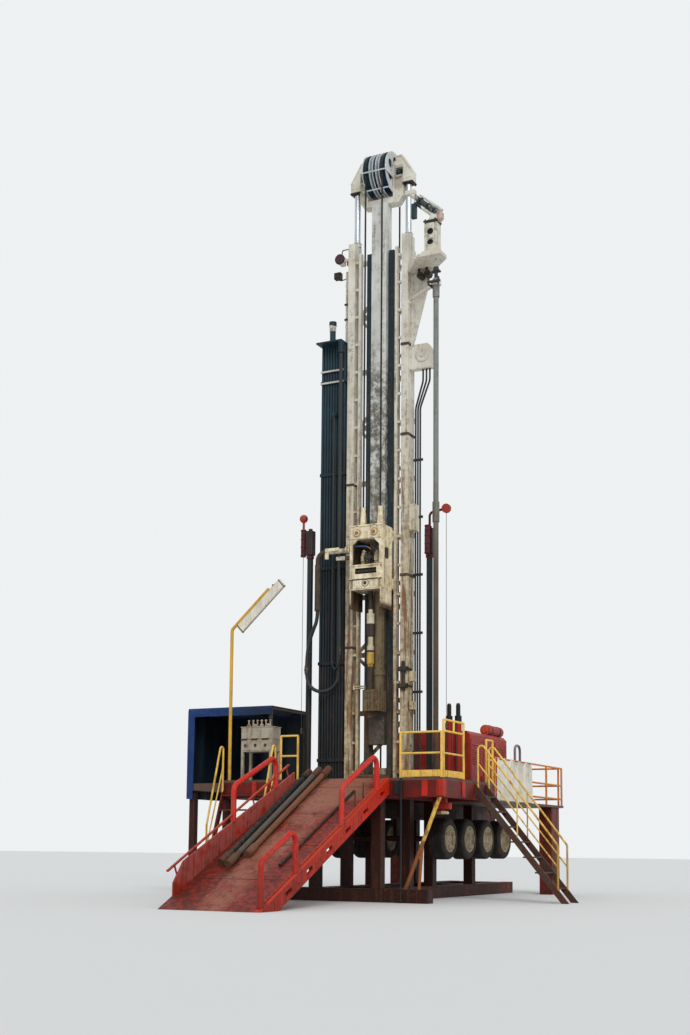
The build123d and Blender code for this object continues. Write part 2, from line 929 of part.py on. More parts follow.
# light pole with its slanted arm and the long lamp under it
pole_x = -3170
pole_y = floor_front + 110
pole_tube = 80
pole_knee = 6480
arm_end_x = -2150
arm_end_z = 7420
lamp_depth = 70
lamp_height = 230
lamp_length = 1600
with BuildPart() as light_pole:
    bent_tube(
        [(pole_x, pole_y, floor_top), (pole_x, pole_y, pole_knee), (arm_end_x, pole_y, arm_end_z)],
        pole_tube,
        120,
    )
    along = Vector(arm_end_x - pole_x, 0, arm_end_z - pole_knee).normalized()
    below = Vector(along.Z, 0, -along.X) * ((pole_tube + lamp_height) / 2)
    lamp_start = Vector(pole_x, pole_y, pole_knee) + along * 150 + below
    bar(lamp_start, lamp_start + along * lamp_length, lamp_depth, lamp_height, side=(0, 1, 0))
save(light_pole, "light_pole")


# mast posts: deep box posts that hold the hoist barrels
def mast_post(side):
    """Add one post with the barrel bore down from its top."""
    x0 = side * post_x - post_width / 2
    x1 = side * post_x + post_width / 2
    block(x0, x1, post_front, post_back, floor_top, post_top)
    x = side * rod_x
    upright(x, rod_y, post_top, post_top + gland_height, rod_diameter + 2 * rod_clearance + 50)
    bore_bottom = rod_pad_z - rod_length - bore_spare
    bore = rod_diameter + 2 * rod_clearance
    upright(x, rod_y, bore_bottom, post_top + gland_height + 1, bore, mode=Mode.SUBTRACT)


with BuildPart() as mast_posts:
    mast_post(-1)
    mast_post(1)
save(mast_posts, "mast_posts")

# guide rails, held off the posts by brackets
post_inner = post_x - post_width / 2
with BuildPart() as mast_rails:
    brackets = int((rail_top - floor_top - 200) // rail_bracket_pitch)
    for side in (-1, 1):
        block(
            min(side * rail_inner_x, side * rail_outer_x),
            max(side * rail_inner_x, side * rail_outer_x),
            post_front,
            post_front + rail_depth,
            floor_top,
            rail_top,
        )
        for k in range(brackets + 1):
            z = floor_top + 200 + k * rail_bracket_pitch
            block(
                min(side * rail_outer_x, side * post_inner),
                max(side * rail_outer_x, side * post_inner),
                post_front + 40,
                post_front + rail_depth,
                z,
                z + 60,
            )
        # inner channel beside the telescoping column
        block(
            min(side * channel_inner_x, side * channel_outer_x),
            max(side * channel_inner_x, side * channel_outer_x),
            20,
            post_back,
            floor_top,
            rail_top,
        )
save(mast_rails, "mast_rails")

# back bracing between the posts, with the foot block that anchors the ropes
anchor_y = sheave_centre_y + rope_pitch_radius
bay = 1450
bays = 9
foot_half_width = 620
foot_height = 350
with BuildPart() as mast_back_bracing:
    outer = post_x + post_width / 2
    y = post_back + bracing_thickness / 2
    for k in range(bays + 1):
        z = floor_top + 250 + k * bay
        block(-outer, outer, post_back, post_back + bracing_thickness, z - 60, z + 60)
        if k < bays:
            flip = 1 if k % 2 else -1
            bar((flip * post_x, y, z), (-flip * post_x, y, z + bay), bracing_thickness, 70, side=(0, 1, 0))
    foot_front = post_back + bracing_thickness + seat_gap
    block(-foot_half_width, foot_half_width, foot_front, anchor_y + 130, floor_top, floor_top + foot_height)
save(mast_back_bracing, "mast_back_bracing")

# telescoping column and the crown frame that it lifts
with BuildPart() as lift_column:
    block(-column_half_width, column_half_width, column_front, column_back, column_bottom, crown_base)
save(lift_column, "lift_column")

cheek_x = rope_x + sheave_width / 2 + 12
cheek_outer = cheek_x + cheek_plate
cheek_front = sheave_centre_y - 160
cheek_back = sheave_centre_y + 270
cheek_top = sheave_centre_z + 330
crown_side = rod_x + 150
wing_front = 50
wing_back = 270
wing_top = sheave_centre_z + 430
recess_half = 100
recess_width = 200
with BuildPart() as crown_frame:
    block(-cheek_x, cheek_x, rod_y - 150, rod_y + 150, crown_base, crown_base + crown_plate)
    cheek_profile = [
        (cheek_front + 20, crown_base),
        (cheek_front, sheave_centre_z - 250),
        (cheek_front, sheave_centre_z + 180),
        (cheek_front + 120, cheek_top),
        (cheek_back - 120, cheek_top),
        (cheek_back, sheave_centre_z + 180),
        (cheek_back - 80, crown_base),
    ]
    wing_profile = [
        (cheek_outer, crown_base),
        (cheek_outer + 80, crown_base),
        (rod_x - rod_diameter + 30, crown_base + 170),
        (rod_x - rod_diameter + 50, rod_pad_z),
        (crown_side, rod_pad_z),
        (crown_side, rod_pad_z + 2 * rod_pad),
        (cheek_outer + 170, wing_top),
        (cheek_outer, wing_top),
    ]
    for side in (-1, 1):
        cheek_ends = sorted((side * cheek_x, side * cheek_outer))
        plate_yz(cheek_profile, cheek_ends[0], cheek_ends[1])
        plate_xz([(side * x, z) for x, z in wing_profile], wing_front, wing_back)
        recess = sorted((side * cheek_outer, side * (cheek_outer + recess_width)))
        block(
            recess[0],
            recess[1],
            wing_front - 1,
            sheave_centre_y + recess_half,
            sheave_centre_z - recess_half,
            sheave_centre_z + recess_half,
            mode=Mode.SUBTRACT,
        )
    with BuildSketch(Plane.YZ.offset(-cheek_outer)) as shaft_bore:
        with Locations((sheave_centre_y, sheave_centre_z)):
            Circle(shaft_diameter / 2 + shaft_clearance)
    extrude(shaft_bore.sketch, amount=2 * cheek_outer, mode=Mode.SUBTRACT)
save(crown_frame, "crown_frame")

with BuildPart() as hoist_rods:
    for side in (-1, 1):
        upright(side * rod_x, rod_y, rod_pad_z - rod_length, rod_pad_z, rod_diameter)
save(hoist_rods, "hoist_rods")

# crown sheaves on their shaft
groove_radius = rope_pitch_radius - rope_diameter / 2 - seat_gap
sheave_rim = rope_pitch_radius + sheave_flange / 2
with BuildPart() as crown_sheaves:
    for reach, diameter in ((cheek_outer + shaft_spare, shaft_diameter), (cheek_x - 12, hub_diameter)):
        with BuildSketch(Plane.YZ.offset(-reach)) as section:
            with Locations((sheave_centre_y, sheave_centre_z)):
                Circle(diameter / 2)
        extrude(section.sketch, amount=2 * reach)
    for x, width in ((-rope_x, sheave_width), (0, middle_sheave), (rope_x, sheave_width)):
        for start, span, radius in (
            (x - width / 2, flange_width, sheave_rim),
            (x - width / 2 + flange_width, width - 2 * flange_width, groove_radius),
            (x + width / 2 - flange_width, flange_width, sheave_rim),
        ):
            with BuildSketch(Plane.YZ.offset(start)) as section:
                with Locations((sheave_centre_y, sheave_centre_z)):
                    Circle(radius)
            extrude(section.sketch, amount=span)
save(crown_sheaves, "crown_sheaves")

# ropes: over the sheaves, down the front to the carriage and down the back to the anchor
socket_top = carriage_high + 480
rope_front_y = sheave_centre_y - rope_pitch_radius
with BuildPart() as rope_wraps:
    for side in (-1, 1):
        with BuildSketch(Plane.XY.offset(sheave_centre_z)) as section:
            with Locations((side * rope_x, rope_front_y)):
                Circle(rope_diameter / 2)
        revolve(
            section.sketch,
            axis=Axis((0, sheave_centre_y, sheave_centre_z), (1, 0, 0)),
            revolution_arc=-180,
        )
save(rope_wraps, "rope_wraps")

with BuildPart() as hoist_ropes:
    for side in (-1, 1):
        upright(side * rope_x, rope_front_y, socket_top, sheave_centre_z, rope_diameter)
save(hoist_ropes, "hoist_ropes")

with BuildPart() as anchor_ropes:
    for side in (-1, 1):
        upright(side * rope_x, anchor_y, floor_top + foot_height, sheave_centre_z, rope_diameter)
save(anchor_ropes, "anchor_ropes")

# carriage: the frame that runs on the guide rails and holds the top drive
window_low = carriage_low + 620
window_high = carriage_low + 1240
window_corner = 140
slot_inset = 130
slot_depth = 120
slot_drop = 230
slot_opening = 140
claw_height = 250
claw_thickness = 40
leg_drop = 450
rope_socket = 80
with BuildPart() as carriage_frame:
    w = carriage_half_width
    block(-w, w, carriage_front, carriage_back, carriage_low, carriage_high)
    plate_xz(
        [
            (-w + carriage_side, window_low),
            (-w + carriage_side, window_high - window_corner),
            (-w + carriage_side + window_corner, window_high),
            (w - carriage_side - window_corner, window_high),
            (w - carriage_side, window_high - window_corner),
            (w - carriage_side, window_low),
        ],
        carriage_front - 1,
        carriage_back + 1,
        mode=Mode.SUBTRACT,
    )
    block(
        -w + slot_inset,
        w - slot_inset,
        carriage_front - 1,
        carriage_front + slot_depth,
        window_low - slot_drop,
        window_low - slot_drop + slot_opening,
        mode=Mode.SUBTRACT,
    )
    claw_inner = carriage_half_width - 30
    claw_outer = rail_inner_x - 5
    claw_back = post_front + rail_depth + 10
    for side in (-1, 1):
        for z in (carriage_low + 80, carriage_high - 330):
            block(
                min(side * claw_inner, side * claw_outer),
                max(side * claw_inner, side * claw_outer),
                carriage_back,
                claw_back + claw_thickness,
                z,
                z + claw_height,
            )
            block(
                min(side * claw_inner, side * (rail_outer_x - 10)),
                max(side * claw_inner, side * (rail_outer_x - 10)),
                claw_back,
                claw_back + claw_thickness,
                z,
                z + claw_height,
            )
        block(
            min(side * (w - carriage_side), side * w),
            max(side * (w - carriage_side), side * w),
            carriage_front,
            carriage_back,
            carriage_low - leg_drop,
            carriage_low,
        )
        upright(side * rope_x, rope_front_y, carriage_high, socket_top, rope_socket)
save(carriage_frame, "carriage_frame")

# top drive: two motors on the gear block, in the frame's window
motor_x = 180
motor_height = 340
motor_cap = 60
gear_half_width = 80
gear_half_depth = 110
gear_height = 280
with BuildPart() as top_drive_motors:
    motor_high = window_low + motor_height
    for side in (-1, 1):
        upright(side * motor_x, well_y, window_low, motor_high, motor_diameter)
        upright(side * motor_x, well_y, motor_high, motor_high + motor_cap, motor_diameter * 0.7)
    block(
        -gear_half_width,
        gear_half_width,
        well_y - gear_half_depth,
        well_y + gear_half_depth,
        window_low,
        window_low + gear_height,
    )
save(top_drive_motors, "top_drive_motors")

# pipe handler: the hanging tube and the grip block under the top drive
grip_low = 4470
grip_high = 4990
collar_low = 5350
with BuildPart() as pipe_handler:
    upright(handler_x, handler_y, grip_high, carriage_low, handler_diameter)
    upright(handler_x, handler_y, collar_low, collar_low + 130, handler_diameter + 40)
    block(-150, handler_x + 140, well_y - 110, -120, grip_low, grip_high)
    upright(0, well_y, grip_low - 1, collar_low + 250, quill_diameter + 16, mode=Mode.SUBTRACT)
save(pipe_handler, "pipe_handler")

# quill: the turning string under the top drive
quill_steps = ((quill_low, 130), (5620, 170), (6060, 130), (6300, 190), (6850, 110))
with BuildPart() as quill:
    step_tops = [low for low, diameter in quill_steps[1:]] + [carriage_low - seat_gap]
    for (low, diameter), high in zip(quill_steps, step_tops):
        upright(0, well_y, low, high, diameter)
save(quill, "quill")

# mud pipe on the carriage: the gooseneck with the hose's steel end, and the bracket of the service hose
gooseneck_tube = 120
hose_end_tube = 150
mud_hose_top = (-1420, -500, 7000)
service_hose_top = (-800, -560, 8200)
gooseneck_z = 8450
with BuildPart() as carriage_gooseneck:
    bent_tube(
        [
            (-carriage_half_width - seat_gap, mud_hose_top[1], gooseneck_z),
            (mud_hose_top[0], mud_hose_top[1], gooseneck_z),
            (mud_hose_top[0], mud_hose_top[1], gooseneck_z - 420),
        ],
        gooseneck_tube,
        190,
    )
    upright(mud_hose_top[0], mud_hose_top[1], mud_hose_top[2], gooseneck_z - 300, hose_end_tube)
    block(
        service_hose_top[0] - 60,
        -carriage_half_width - seat_gap,
        service_hose_top[1] - 50,
        service_hose_top[1] + 50,
        service_hose_top[2],
        service_hose_top[2] + 90,
    )
save(carriage_gooseneck, "carriage_gooseneck")

# left hose bank: tall bundle clamped beside the left post
bank_left = -1600
bank_right = -900
bank_front = -180
bank_back = 180
bank_low = floor_top
bank_high = 13900
bank_bar = 40
bank_clamp_pitch = 2400
standpipe_x = -1330
standpipe_height = 510
flange_height = 110
mud_leg_x = -930
mud_leg_y = -300
mud_leg_top = bank_high - 300
service_leg_x = -1150
service_leg_y = -220
service_leg_top = bank_high - 1900
with BuildPart() as hose_bank:
    count = 9
    spacing = (bank_right - bank_left) / count
    for row_y in (-60, 60):
        for k in range(count):
            x = bank_left + spacing * (k + 0.5)
            upright(x, row_y, bank_low, bank_high, spacing * 0.92)
    for z in range(bank_low + 500, bank_high, bank_clamp_pitch):
        block(bank_left, -post_x - post_width / 2, -120, 120, z, z + 80)
    bar_top = bank_high + bank_bar
    block(bank_left - 20, bank_right, mud_leg_y - 60, 120, bank_high, bar_top)
    upright(standpipe_x, 0, bar_top, bar_top + standpipe_height, 150)
    upright(standpipe_x, 0, bar_top + standpipe_height, bar_top + standpipe_height + flange_height, 190)
    upright(mud_leg_x, mud_leg_y, mud_leg_top, bank_high, hose_end_tube)
    foot_high = service_leg_top + 90
    block(service_leg_x - 45, service_leg_x + 45, service_leg_y - 40, 0, service_leg_top, foot_high)
save(hose_bank, "hose_bank")

# mud hose: the leg that hangs from the bank with the loop at its foot, and the leg up to the carriage
mud_hose_diameter = 90
mud_loop_end = (-1730, -448, 5560)
with BuildPart() as mud_hose_fixed:
    cord(
        [
            (mud_leg_x, mud_leg_y, mud_leg_top),
            (mud_leg_x, mud_leg_y, 5244),
            (-1164, -343, 5010),
            (-1496, -405, 5010),
            (-1730, -448, 5244),
            mud_loop_end,
        ],
        mud_hose_diameter,
        "mud hose, fixed leg",
    )
save(mud_hose_fixed, "mud_hose_fixed")

with BuildPart() as mud_hose_moving:
    cord(
        [
            mud_loop_end,
            (-1730, -448, 5870),
            (-1660, -466, 6250),
            (-1545, -480, 6530),
            (-1420, -500, 6780),
            mud_hose_top,
        ],
        mud_hose_diameter,
        "mud hose, moving leg",
    )
save(mud_hose_moving, "mud_hose_moving")

# service hose, looped the same way
service_hose_diameter = 50
service_loop_end = (-728, -612, 5950)
with BuildPart() as service_hose_fixed:
    cord(
        [
            (service_leg_x, service_leg_y, service_leg_top),
            (service_leg_x, service_leg_y, 5719),
            (-1026, -335, 5550),
            (-852, -497, 5550),
            (-728, -612, 5719),
            service_loop_end,
        ],
        service_hose_diameter,
        "service hose, fixed leg",
    )
save(service_hose_fixed, "service_hose_fixed")

with BuildPart() as service_hose_moving:
    cord(
        [
            service_loop_end,
            (-728, -612, 6256),
            (-738, -604, 6850),
            (-768, -583, 7430),
            (-800, -560, 7880),
            service_hose_top,
        ],
        service_hose_diameter,
        "service hose, moving leg",
    )
save(service_hose_moving, "service_hose_moving")

# davits: posts on the floor, and heads that swivel on them
davit_foot = 40
with BuildPart() as davit_posts:
    for x, y, top in (
        (davit_left_x, davit_left_y, davit_left_top),
        (davit_right_x, davit_right_y, davit_right_top),
    ):
        upright(x, y, floor_top, floor_top + davit_foot, davit_post + 160)
        upright(x, y, floor_top + davit_foot, top, davit_post)
save(davit_posts, "davit_posts")

collar_height = 60
arm_height = 60
hook_length = 180
hook_diameter = 60
hook_top = 4150


def davit_line(x, y, top):
    """Add a davit's line with the hook weight on its end."""
    upright(x, y, hook_top, top, line_diameter)
    upright(x, y, hook_top - hook_length, hook_top - seat_gap, hook_diameter)


# left davit: the winch hangs beside the post, with a ball on top
left_reach = 200
ball_radius = 105
ball_neck = 280
winch_low = davit_left_top + seat_gap + collar_height
winch_high = winch_low + winch_length
winch_x = davit_left_x - left_reach
with BuildPart() as davit_head_left:
    upright(davit_left_x, davit_left_y, davit_left_top + seat_gap, winch_low, davit_post + 40)
    upright(davit_left_x, davit_left_y, winch_low, winch_high, davit_post - 50)
    upright(winch_x, davit_left_y, winch_low, winch_high, winch_diameter)
    for z in (winch_low + arm_height, winch_high - 2 * arm_height):
        block(winch_x, davit_left_x, davit_left_y - 40, davit_left_y + 40, z, z + arm_height)
    upright(winch_x, davit_left_y, winch_high, winch_high + ball_neck, 60)
    with Locations((winch_x, davit_left_y, winch_high + ball_neck)):
        Sphere(ball_radius)
save(davit_head_left, "davit_head_left")

with BuildPart() as davit_line_left:
    davit_line(winch_x, davit_left_y, winch_low - seat_gap)
save(davit_line_left, "davit_line_left")

# right davit: the winch stands in front of the post, and a bent arm holds the line's sheave cover
right_reach = 430
winch_offset = 130
cover_radius = 110
cover_width = 80
winch_low = davit_right_top + seat_gap + collar_height
winch_high = winch_low + winch_length
cover_z = winch_high + 390
line_x = davit_right_x + right_reach
with BuildPart() as davit_head_right:
    upright(davit_right_x, davit_right_y, davit_right_top + seat_gap, winch_low, davit_post + 40)
    upright(davit_right_x, davit_right_y, winch_low, winch_high, davit_post - 50)
    upright(davit_right_x, davit_right_y - winch_offset, winch_low, winch_high, winch_diameter)
    for z in (winch_low + arm_height, winch_high - 2 * arm_height):
        block(
            davit_right_x - 40,
            davit_right_x + 40,
            davit_right_y - winch_offset,
            davit_right_y,
            z,
            z + arm_height,
        )
    bent_tube(
        [
            (davit_right_x, davit_right_y, winch_high - arm_height),
            (davit_right_x, davit_right_y, cover_z - 60),
            (line_x, davit_right_y, cover_z),
        ],
        60,
        110,
    )
    with BuildSketch(Plane.XZ.offset(-(davit_right_y - cover_width / 2))) as cover:
        with Locations((line_x, cover_z)):
            Circle(cover_radius)
    extrude(cover.sketch, amount=-cover_width)
save(davit_head_right, "davit_head_right")

with BuildPart() as davit_line_right:
    davit_line(line_x, davit_right_y, cover_z - cover_radius - seat_gap)
save(davit_line_right, "davit_line_right")

# right side of the mast: gusset plate, arm plate under the jib and the clamp of the standing pipe
post_right = post_x + post_width / 2
clamp_z = 14750
clamp_height = 100
clamp_wall = 40
clamp_arm = 70
stand_x = 1860
stand_y = -750
stand_joint = 168
stand_pipe = 127
arm_rise = 700
arm_plate_z = clamp_z + arm_rise
arm_plate = 80
arm_reach = 160
arm_front = 110
arm_nose = 600
gusset_plate = 60
gusset_front = 20
gusset_edge = 1330
gusset_knee = 110
gusset_rise = 500
gusset_drop = 1250
with BuildPart() as mast_arms:
    plate_xz(
        [
            (post_right, arm_plate_z + gusset_rise),
            (gusset_edge, arm_plate_z),
            (gusset_edge, clamp_z + 4 * clamp_height),
            (post_right + gusset_knee, clamp_z - gusset_drop * 4 / 5),
            (post_right, clamp_z - gusset_drop),
        ],
        gusset_front,
        gusset_front + gusset_plate,
    )
    with BuildSketch(Plane.XY.offset(arm_plate_z)) as arm_outline:
        with BuildLine():
            Polyline(
                (post_right, post_front),
                (post_right, 180),
                (gusset_edge + 70, 120),
                (stand_x + arm_reach, stand_y + 270),
                (stand_x + arm_reach, stand_y - arm_front),
                (stand_x + arm_reach - arm_nose, stand_y - arm_front),
                close=True,
            )
        make_face()
    extrude(amount=arm_plate)
    clamp_start = (post_right + clamp_arm / 2, post_front + clamp_arm / 2, clamp_z)
    bar(clamp_start, (stand_x, stand_y, clamp_z), clamp_arm, clamp_arm, side=(0, 0, 1))
    clamp_low = clamp_z - clamp_height
    block(post_right, post_right + clamp_arm, post_front, post_back, clamp_low, clamp_z + clamp_height)
    ring_low = clamp_z - clamp_height / 2
    ring_high = clamp_z + clamp_height / 2
    upright(stand_x, stand_y, ring_low, ring_high, stand_joint + 2 * clamp_wall)
    upright(stand_x, stand_y, ring_low - 1, ring_high + 1, stand_joint + 2 * seat_gap, mode=Mode.SUBTRACT)
save(mast_arms, "mast_arms")

# jib: the head block with two holes, the raised boom with its cylinder, and the hanging block
jib_y = -650
jib_low = arm_plate_z + arm_plate + seat_gap
jib_base = 60
jib_left = 1560
jib_right = 1880
jib_half_depth = 140
jib_top = 16330
jib_tip = Vector(1120, jib_y, jib_top + 900)
jib_heel = Vector(jib_right + 80, jib_y, jib_top + 150)
jib_hole = 170
jib_hole_rise = (300, 560)
boom_tube = 130
ram_tube = 90
hook_block = 120
hook_block_height = 370
with BuildPart() as jib_arm:
    block(jib_left, jib_right, jib_y - jib_half_depth, jib_y + jib_half_depth, jib_low, jib_top)
    block(jib_left - 60, jib_right + 80, jib_y - 170, jib_y + 170, jib_low, jib_low + jib_base)
    plate_xz(
        [
            (jib_left + 40, jib_top),
            (jib_right, jib_top),
            (jib_heel.X + 30, jib_top + 90),
            (jib_heel.X + 30, jib_top + 230),
            (jib_left + 200, jib_top + 310),
        ],
        jib_y - 80,
        jib_y + 80,
    )
    with BuildSketch(Plane.XZ.offset(-(jib_y - jib_half_depth))) as holes:
        hole_x = (jib_left + jib_right) / 2
        with Locations([(hole_x, arm_plate_z + arm_plate + rise) for rise in jib_hole_rise]):
            Circle(jib_hole / 2)
    extrude(holes.sketch, amount=-2 * jib_half_depth, mode=Mode.SUBTRACT)
    rod(jib_heel, jib_tip, boom_tube)
    ram_drop = Vector(-40, 0, -110)
    rod(jib_heel + ram_drop, jib_tip + ram_drop + Vector(180, 0, -160), ram_tube)
    block(jib_tip.X - 100, jib_tip.X + 140, jib_y - 70, jib_y + 70, jib_tip.Z - 40, jib_tip.Z + 60)
    block_x = jib_tip.X + 110
    block_top = jib_tip.Z - 300
    upright(block_x, jib_y, block_top, jib_tip.Z - 40, 20)
    block(
        block_x - hook_block / 2,
        block_x + hook_block / 2,
        jib_y - 50,
        jib_y + 50,
        block_top - hook_block_height,
        block_top,
    )
save(jib_arm, "jib_arm")

# standing drill pipe with its joints and the lifting plug: the foot and diameter of each step
stand_top = clamp_z + 400
stand_mid = 8870
stand_joint_length = 480
stand_steps = (
    (floor_top, stand_joint),
    (floor_top + 400, stand_pipe),
    (stand_mid, stand_joint),
    (stand_mid + stand_joint_length, stand_pipe),
    (clamp_z - 350, stand_joint),
    (clamp_z + 110, 90),
    (clamp_z + 300, 130),
)
with BuildPart() as standing_pipe:
    step_tops = [low for low, diameter in stand_steps[1:]] + [stand_top]
    for (low, diameter), high in zip(stand_steps, step_tops):
        upright(stand_x, stand_y, low, high, diameter)
save(standing_pipe, "standing_pipe")

# fittings on the posts: the hose guide box and junction box on the right, pipes and a lamp on the left
guide_low = 12950
guide_high = 13580
guide_right = 1450
guide_front = -60
guide_depth = 180
guide_shoulder = 160
guide_bevel = 120
side_pipes = (-900, -1010)
side_pipe_tube = 60
side_pipe_y = 150
junction_low = 8900
junction_height = 660
junction_width = 170
flood_z = post_top - 370
flood_height = 220
flood_width = 120
flood_arm = 160
flood_bar = 60
with BuildPart() as mast_fittings:
    plate_xz(
        [
            (post_right, guide_low),
            (guide_right, guide_low),
            (guide_right, guide_high - guide_shoulder),
            (guide_right - guide_bevel, guide_high),
            (post_right + guide_shoulder, guide_high),
            (post_right, guide_high - 130),
        ],
        guide_front,
        guide_front + guide_depth,
    )
    block(post_right, post_right + junction_width, -90, 160, junction_low, junction_low + junction_height)
    for x in side_pipes:
        upright(x, side_pipe_y, bank_high + 60, bank_high + 2000, side_pipe_tube)
    for z in (bank_high + 500, bank_high + 1600):
        block(side_pipes[1] - 30, -post_right, side_pipe_y - 30, side_pipe_y + 30, z, z + 60)
    flood_back = -post_right - flood_arm
    block(flood_back, -post_right, -flood_bar, 0, flood_z - flood_bar / 2, flood_z + flood_bar / 2)
    flood_low = flood_z - flood_height / 2
    block(flood_back - flood_width, flood_back, -150, 60, flood_low, flood_low + flood_height)
save(mast_fittings, "mast_fittings")

# hose run down the right post, clipped to it
run_tube = 46
run_pitch = 62
run_start_pitch = 90
run_y = 215
run_count = 3
clip_height = 60
clip_pitch = 1440
with BuildPart() as hose_run:
    for k in range(run_count):
        x = post_right + 60 + k * run_pitch
        start_x = 1180 + k * run_start_pitch
        bent_tube(
            [
                (start_x, guide_front + guide_depth / 2, guide_low - seat_gap),
                (start_x, guide_front + guide_depth / 2, guide_low - 300),
                (x, run_y, guide_low - 900),
                (x, run_y, floor_top),
            ],
            run_tube,
            [220, 300],
        )
    for z in range(floor_top + 700, guide_low - 1200, clip_pitch):
        block(post_right, post_right + 60 + run_count * run_pitch, run_y, run_y + 40, z, z + clip_height)
save(hose_run, "hose_run")
print("built")
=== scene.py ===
import math

import bpy
from mathutils import Matrix, Vector


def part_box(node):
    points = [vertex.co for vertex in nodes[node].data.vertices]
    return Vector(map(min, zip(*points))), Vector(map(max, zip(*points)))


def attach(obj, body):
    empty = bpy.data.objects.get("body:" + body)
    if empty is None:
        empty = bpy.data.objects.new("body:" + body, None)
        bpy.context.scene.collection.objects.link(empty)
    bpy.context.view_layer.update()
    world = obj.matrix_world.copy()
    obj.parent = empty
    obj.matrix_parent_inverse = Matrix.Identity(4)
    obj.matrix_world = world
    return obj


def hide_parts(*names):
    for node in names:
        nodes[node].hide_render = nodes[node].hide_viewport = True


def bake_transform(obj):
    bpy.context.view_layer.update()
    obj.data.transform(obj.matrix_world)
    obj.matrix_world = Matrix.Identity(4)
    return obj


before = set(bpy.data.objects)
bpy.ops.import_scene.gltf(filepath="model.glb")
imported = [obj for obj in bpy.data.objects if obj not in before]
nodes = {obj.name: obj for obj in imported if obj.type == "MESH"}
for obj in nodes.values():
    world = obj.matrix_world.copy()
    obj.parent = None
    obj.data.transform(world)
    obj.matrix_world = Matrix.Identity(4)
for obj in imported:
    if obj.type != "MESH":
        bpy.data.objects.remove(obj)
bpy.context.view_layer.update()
print("frame:", len(nodes), "nodes")


# ---- camera at the photograph's place: 34 m off, eye height, looking slightly up at the mast
view = {"eye": (14.678, -30.568, 1.28), "azimuth": 27, "up": 7.01, "lean": 0.5, "lens": 48.7, "rise": 0.15}
bpy.ops.object.camera_add()
camera = bpy.context.object
camera.name = "photoCamera"
camera.matrix_world = (
    Matrix.Translation(view["eye"])
    @ Matrix.Rotation(math.radians(view["azimuth"]), 4, "Z")
    @ Matrix.Rotation(math.radians(90 + view["up"]), 4, "X")
    @ Matrix.Rotation(math.radians(view["lean"]), 4, "Z")
)
camera.data.sensor_width = 36
camera.data.lens = view["lens"]
camera.data.shift_y = view["rise"]
camera.data.clip_end = 400
bpy.context.scene.camera = camera


# ---- shader helpers
class Wire:  # one output socket; expressions of wires and numbers add Math nodes
    def __init__(self, finish, socket):
        self.finish = finish
        self.socket = socket

    def math(self, operation, first, second):
        return self.finish.node("ShaderNodeMath", {"operation": operation}, {0: first, 1: second})

    def ranged(self, low, high, start, end):
        settings = {"interpolation_type": "SMOOTHSTEP"}
        return self.finish.node("ShaderNodeMapRange", settings, {0: self, 1: low, 2: high, 3: start, 4: end})

    def __add__(self, other):
        return self.math("ADD", self, other)

    def __sub__(self, other):
        return self.math("SUBTRACT", self, other)

    def __rsub__(self, other):
        return self.math("SUBTRACT", other, self)

    def __mul__(self, other):
        return self.math("MULTIPLY", self, other)

    def __mod__(self, other):
        return self.math("FLOORED_MODULO", self, other)

    def __pow__(self, other):
        return self.math("POWER", self, other)

    def __abs__(self):
        return self.math("ABSOLUTE", self, 0)

    __radd__ = __add__
    __rmul__ = __mul__

    def most(self, other):
        return self.math("MAXIMUM", self, other)

    def least(self, other):
        return self.math("MINIMUM", self, other)

    def rise(self, low, high):  # 0 below low, 1 above high, smooth between
        return self.ranged(low, high, 0, 1)

    def fall(self, low, high):
        return self.ranged(low, high, 1, 0)

    def within(self, low, high, soft=0.004):
        return self.rise(low - soft, low + soft) * self.fall(high - soft, high + soft)


class Finish:  # the nodes of one material, or of the world
    def __init__(self, name, owner=None):
        self.material = owner or bpy.data.materials.new(name)
        self.material.use_nodes = True
        self.tree = self.material.node_tree
        self.tree.nodes.clear()

    def node(self, kind, settings=(), inputs=(), output=0):
        made = self.tree.nodes.new(kind)
        for key, value in dict(settings).items():
            setattr(made, key, value)
        for key, value in dict(inputs).items():
            if isinstance(value, Wire):
                self.tree.links.new(value.socket, made.inputs[key])
            else:
                made.inputs[key].default_value = value
        return None if output is None else Wire(self, made.outputs[output])

    def place(self):
        return self.node("ShaderNodeTexCoord", output="Object")

    def axes(self, at):
        parts = self.node("ShaderNodeSeparateXYZ", inputs={0: at})
        return [Wire(self, socket) for socket in parts.socket.node.outputs]

    def noise(self, at, scale, detail=4, rough=0.6, by=None):
        if by:
            at = self.node("ShaderNodeVectorMath", {"operation": "MULTIPLY"}, {0: at, 1: by})
        return self.node("ShaderNodeTexNoise", {}, {"Vector": at, "Scale": scale, "Detail": detail, "Roughness": rough})

    def mix(self, amount, first, second):
        settings = {"data_type": "RGBA", "clamp_factor": True}
        return self.node("ShaderNodeMix", settings, {0: amount, 6: first, 7: second}, 2)

    def bump(self, height, strength, distance):
        return self.node("ShaderNodeBump", {}, {"Height": height, "Strength": strength, "Distance": distance})

    def surface(self, sockets):
        shader = self.node("ShaderNodeBsdfPrincipled", {}, sockets)
        self.node("ShaderNodeOutputMaterial", {}, {"Surface": shader}, None)
        return self.material


def tone(red, green, blue):  # a colour as a screen shows it, 0 to 255, made linear
    linear = [((c / 255 + 0.055) / 1.055) ** 2.4 if c > 10 else c / 255 / 12.92 for c in (red, green, blue)]
    return (*linear, 1)


# ---- modelling helpers
def only(*objects):  # select just these, the last one active
    bpy.ops.object.select_all(action="DESELECT")
    for o in objects:
        o.select_set(True)
    if objects:
        bpy.context.view_layer.objects.active = objects[-1]


def settle(o):  # put an object's place, turn and size into its mesh
    only(o)
    bpy.ops.object.transform_apply(location=True, rotation=True, scale=True)
    return o


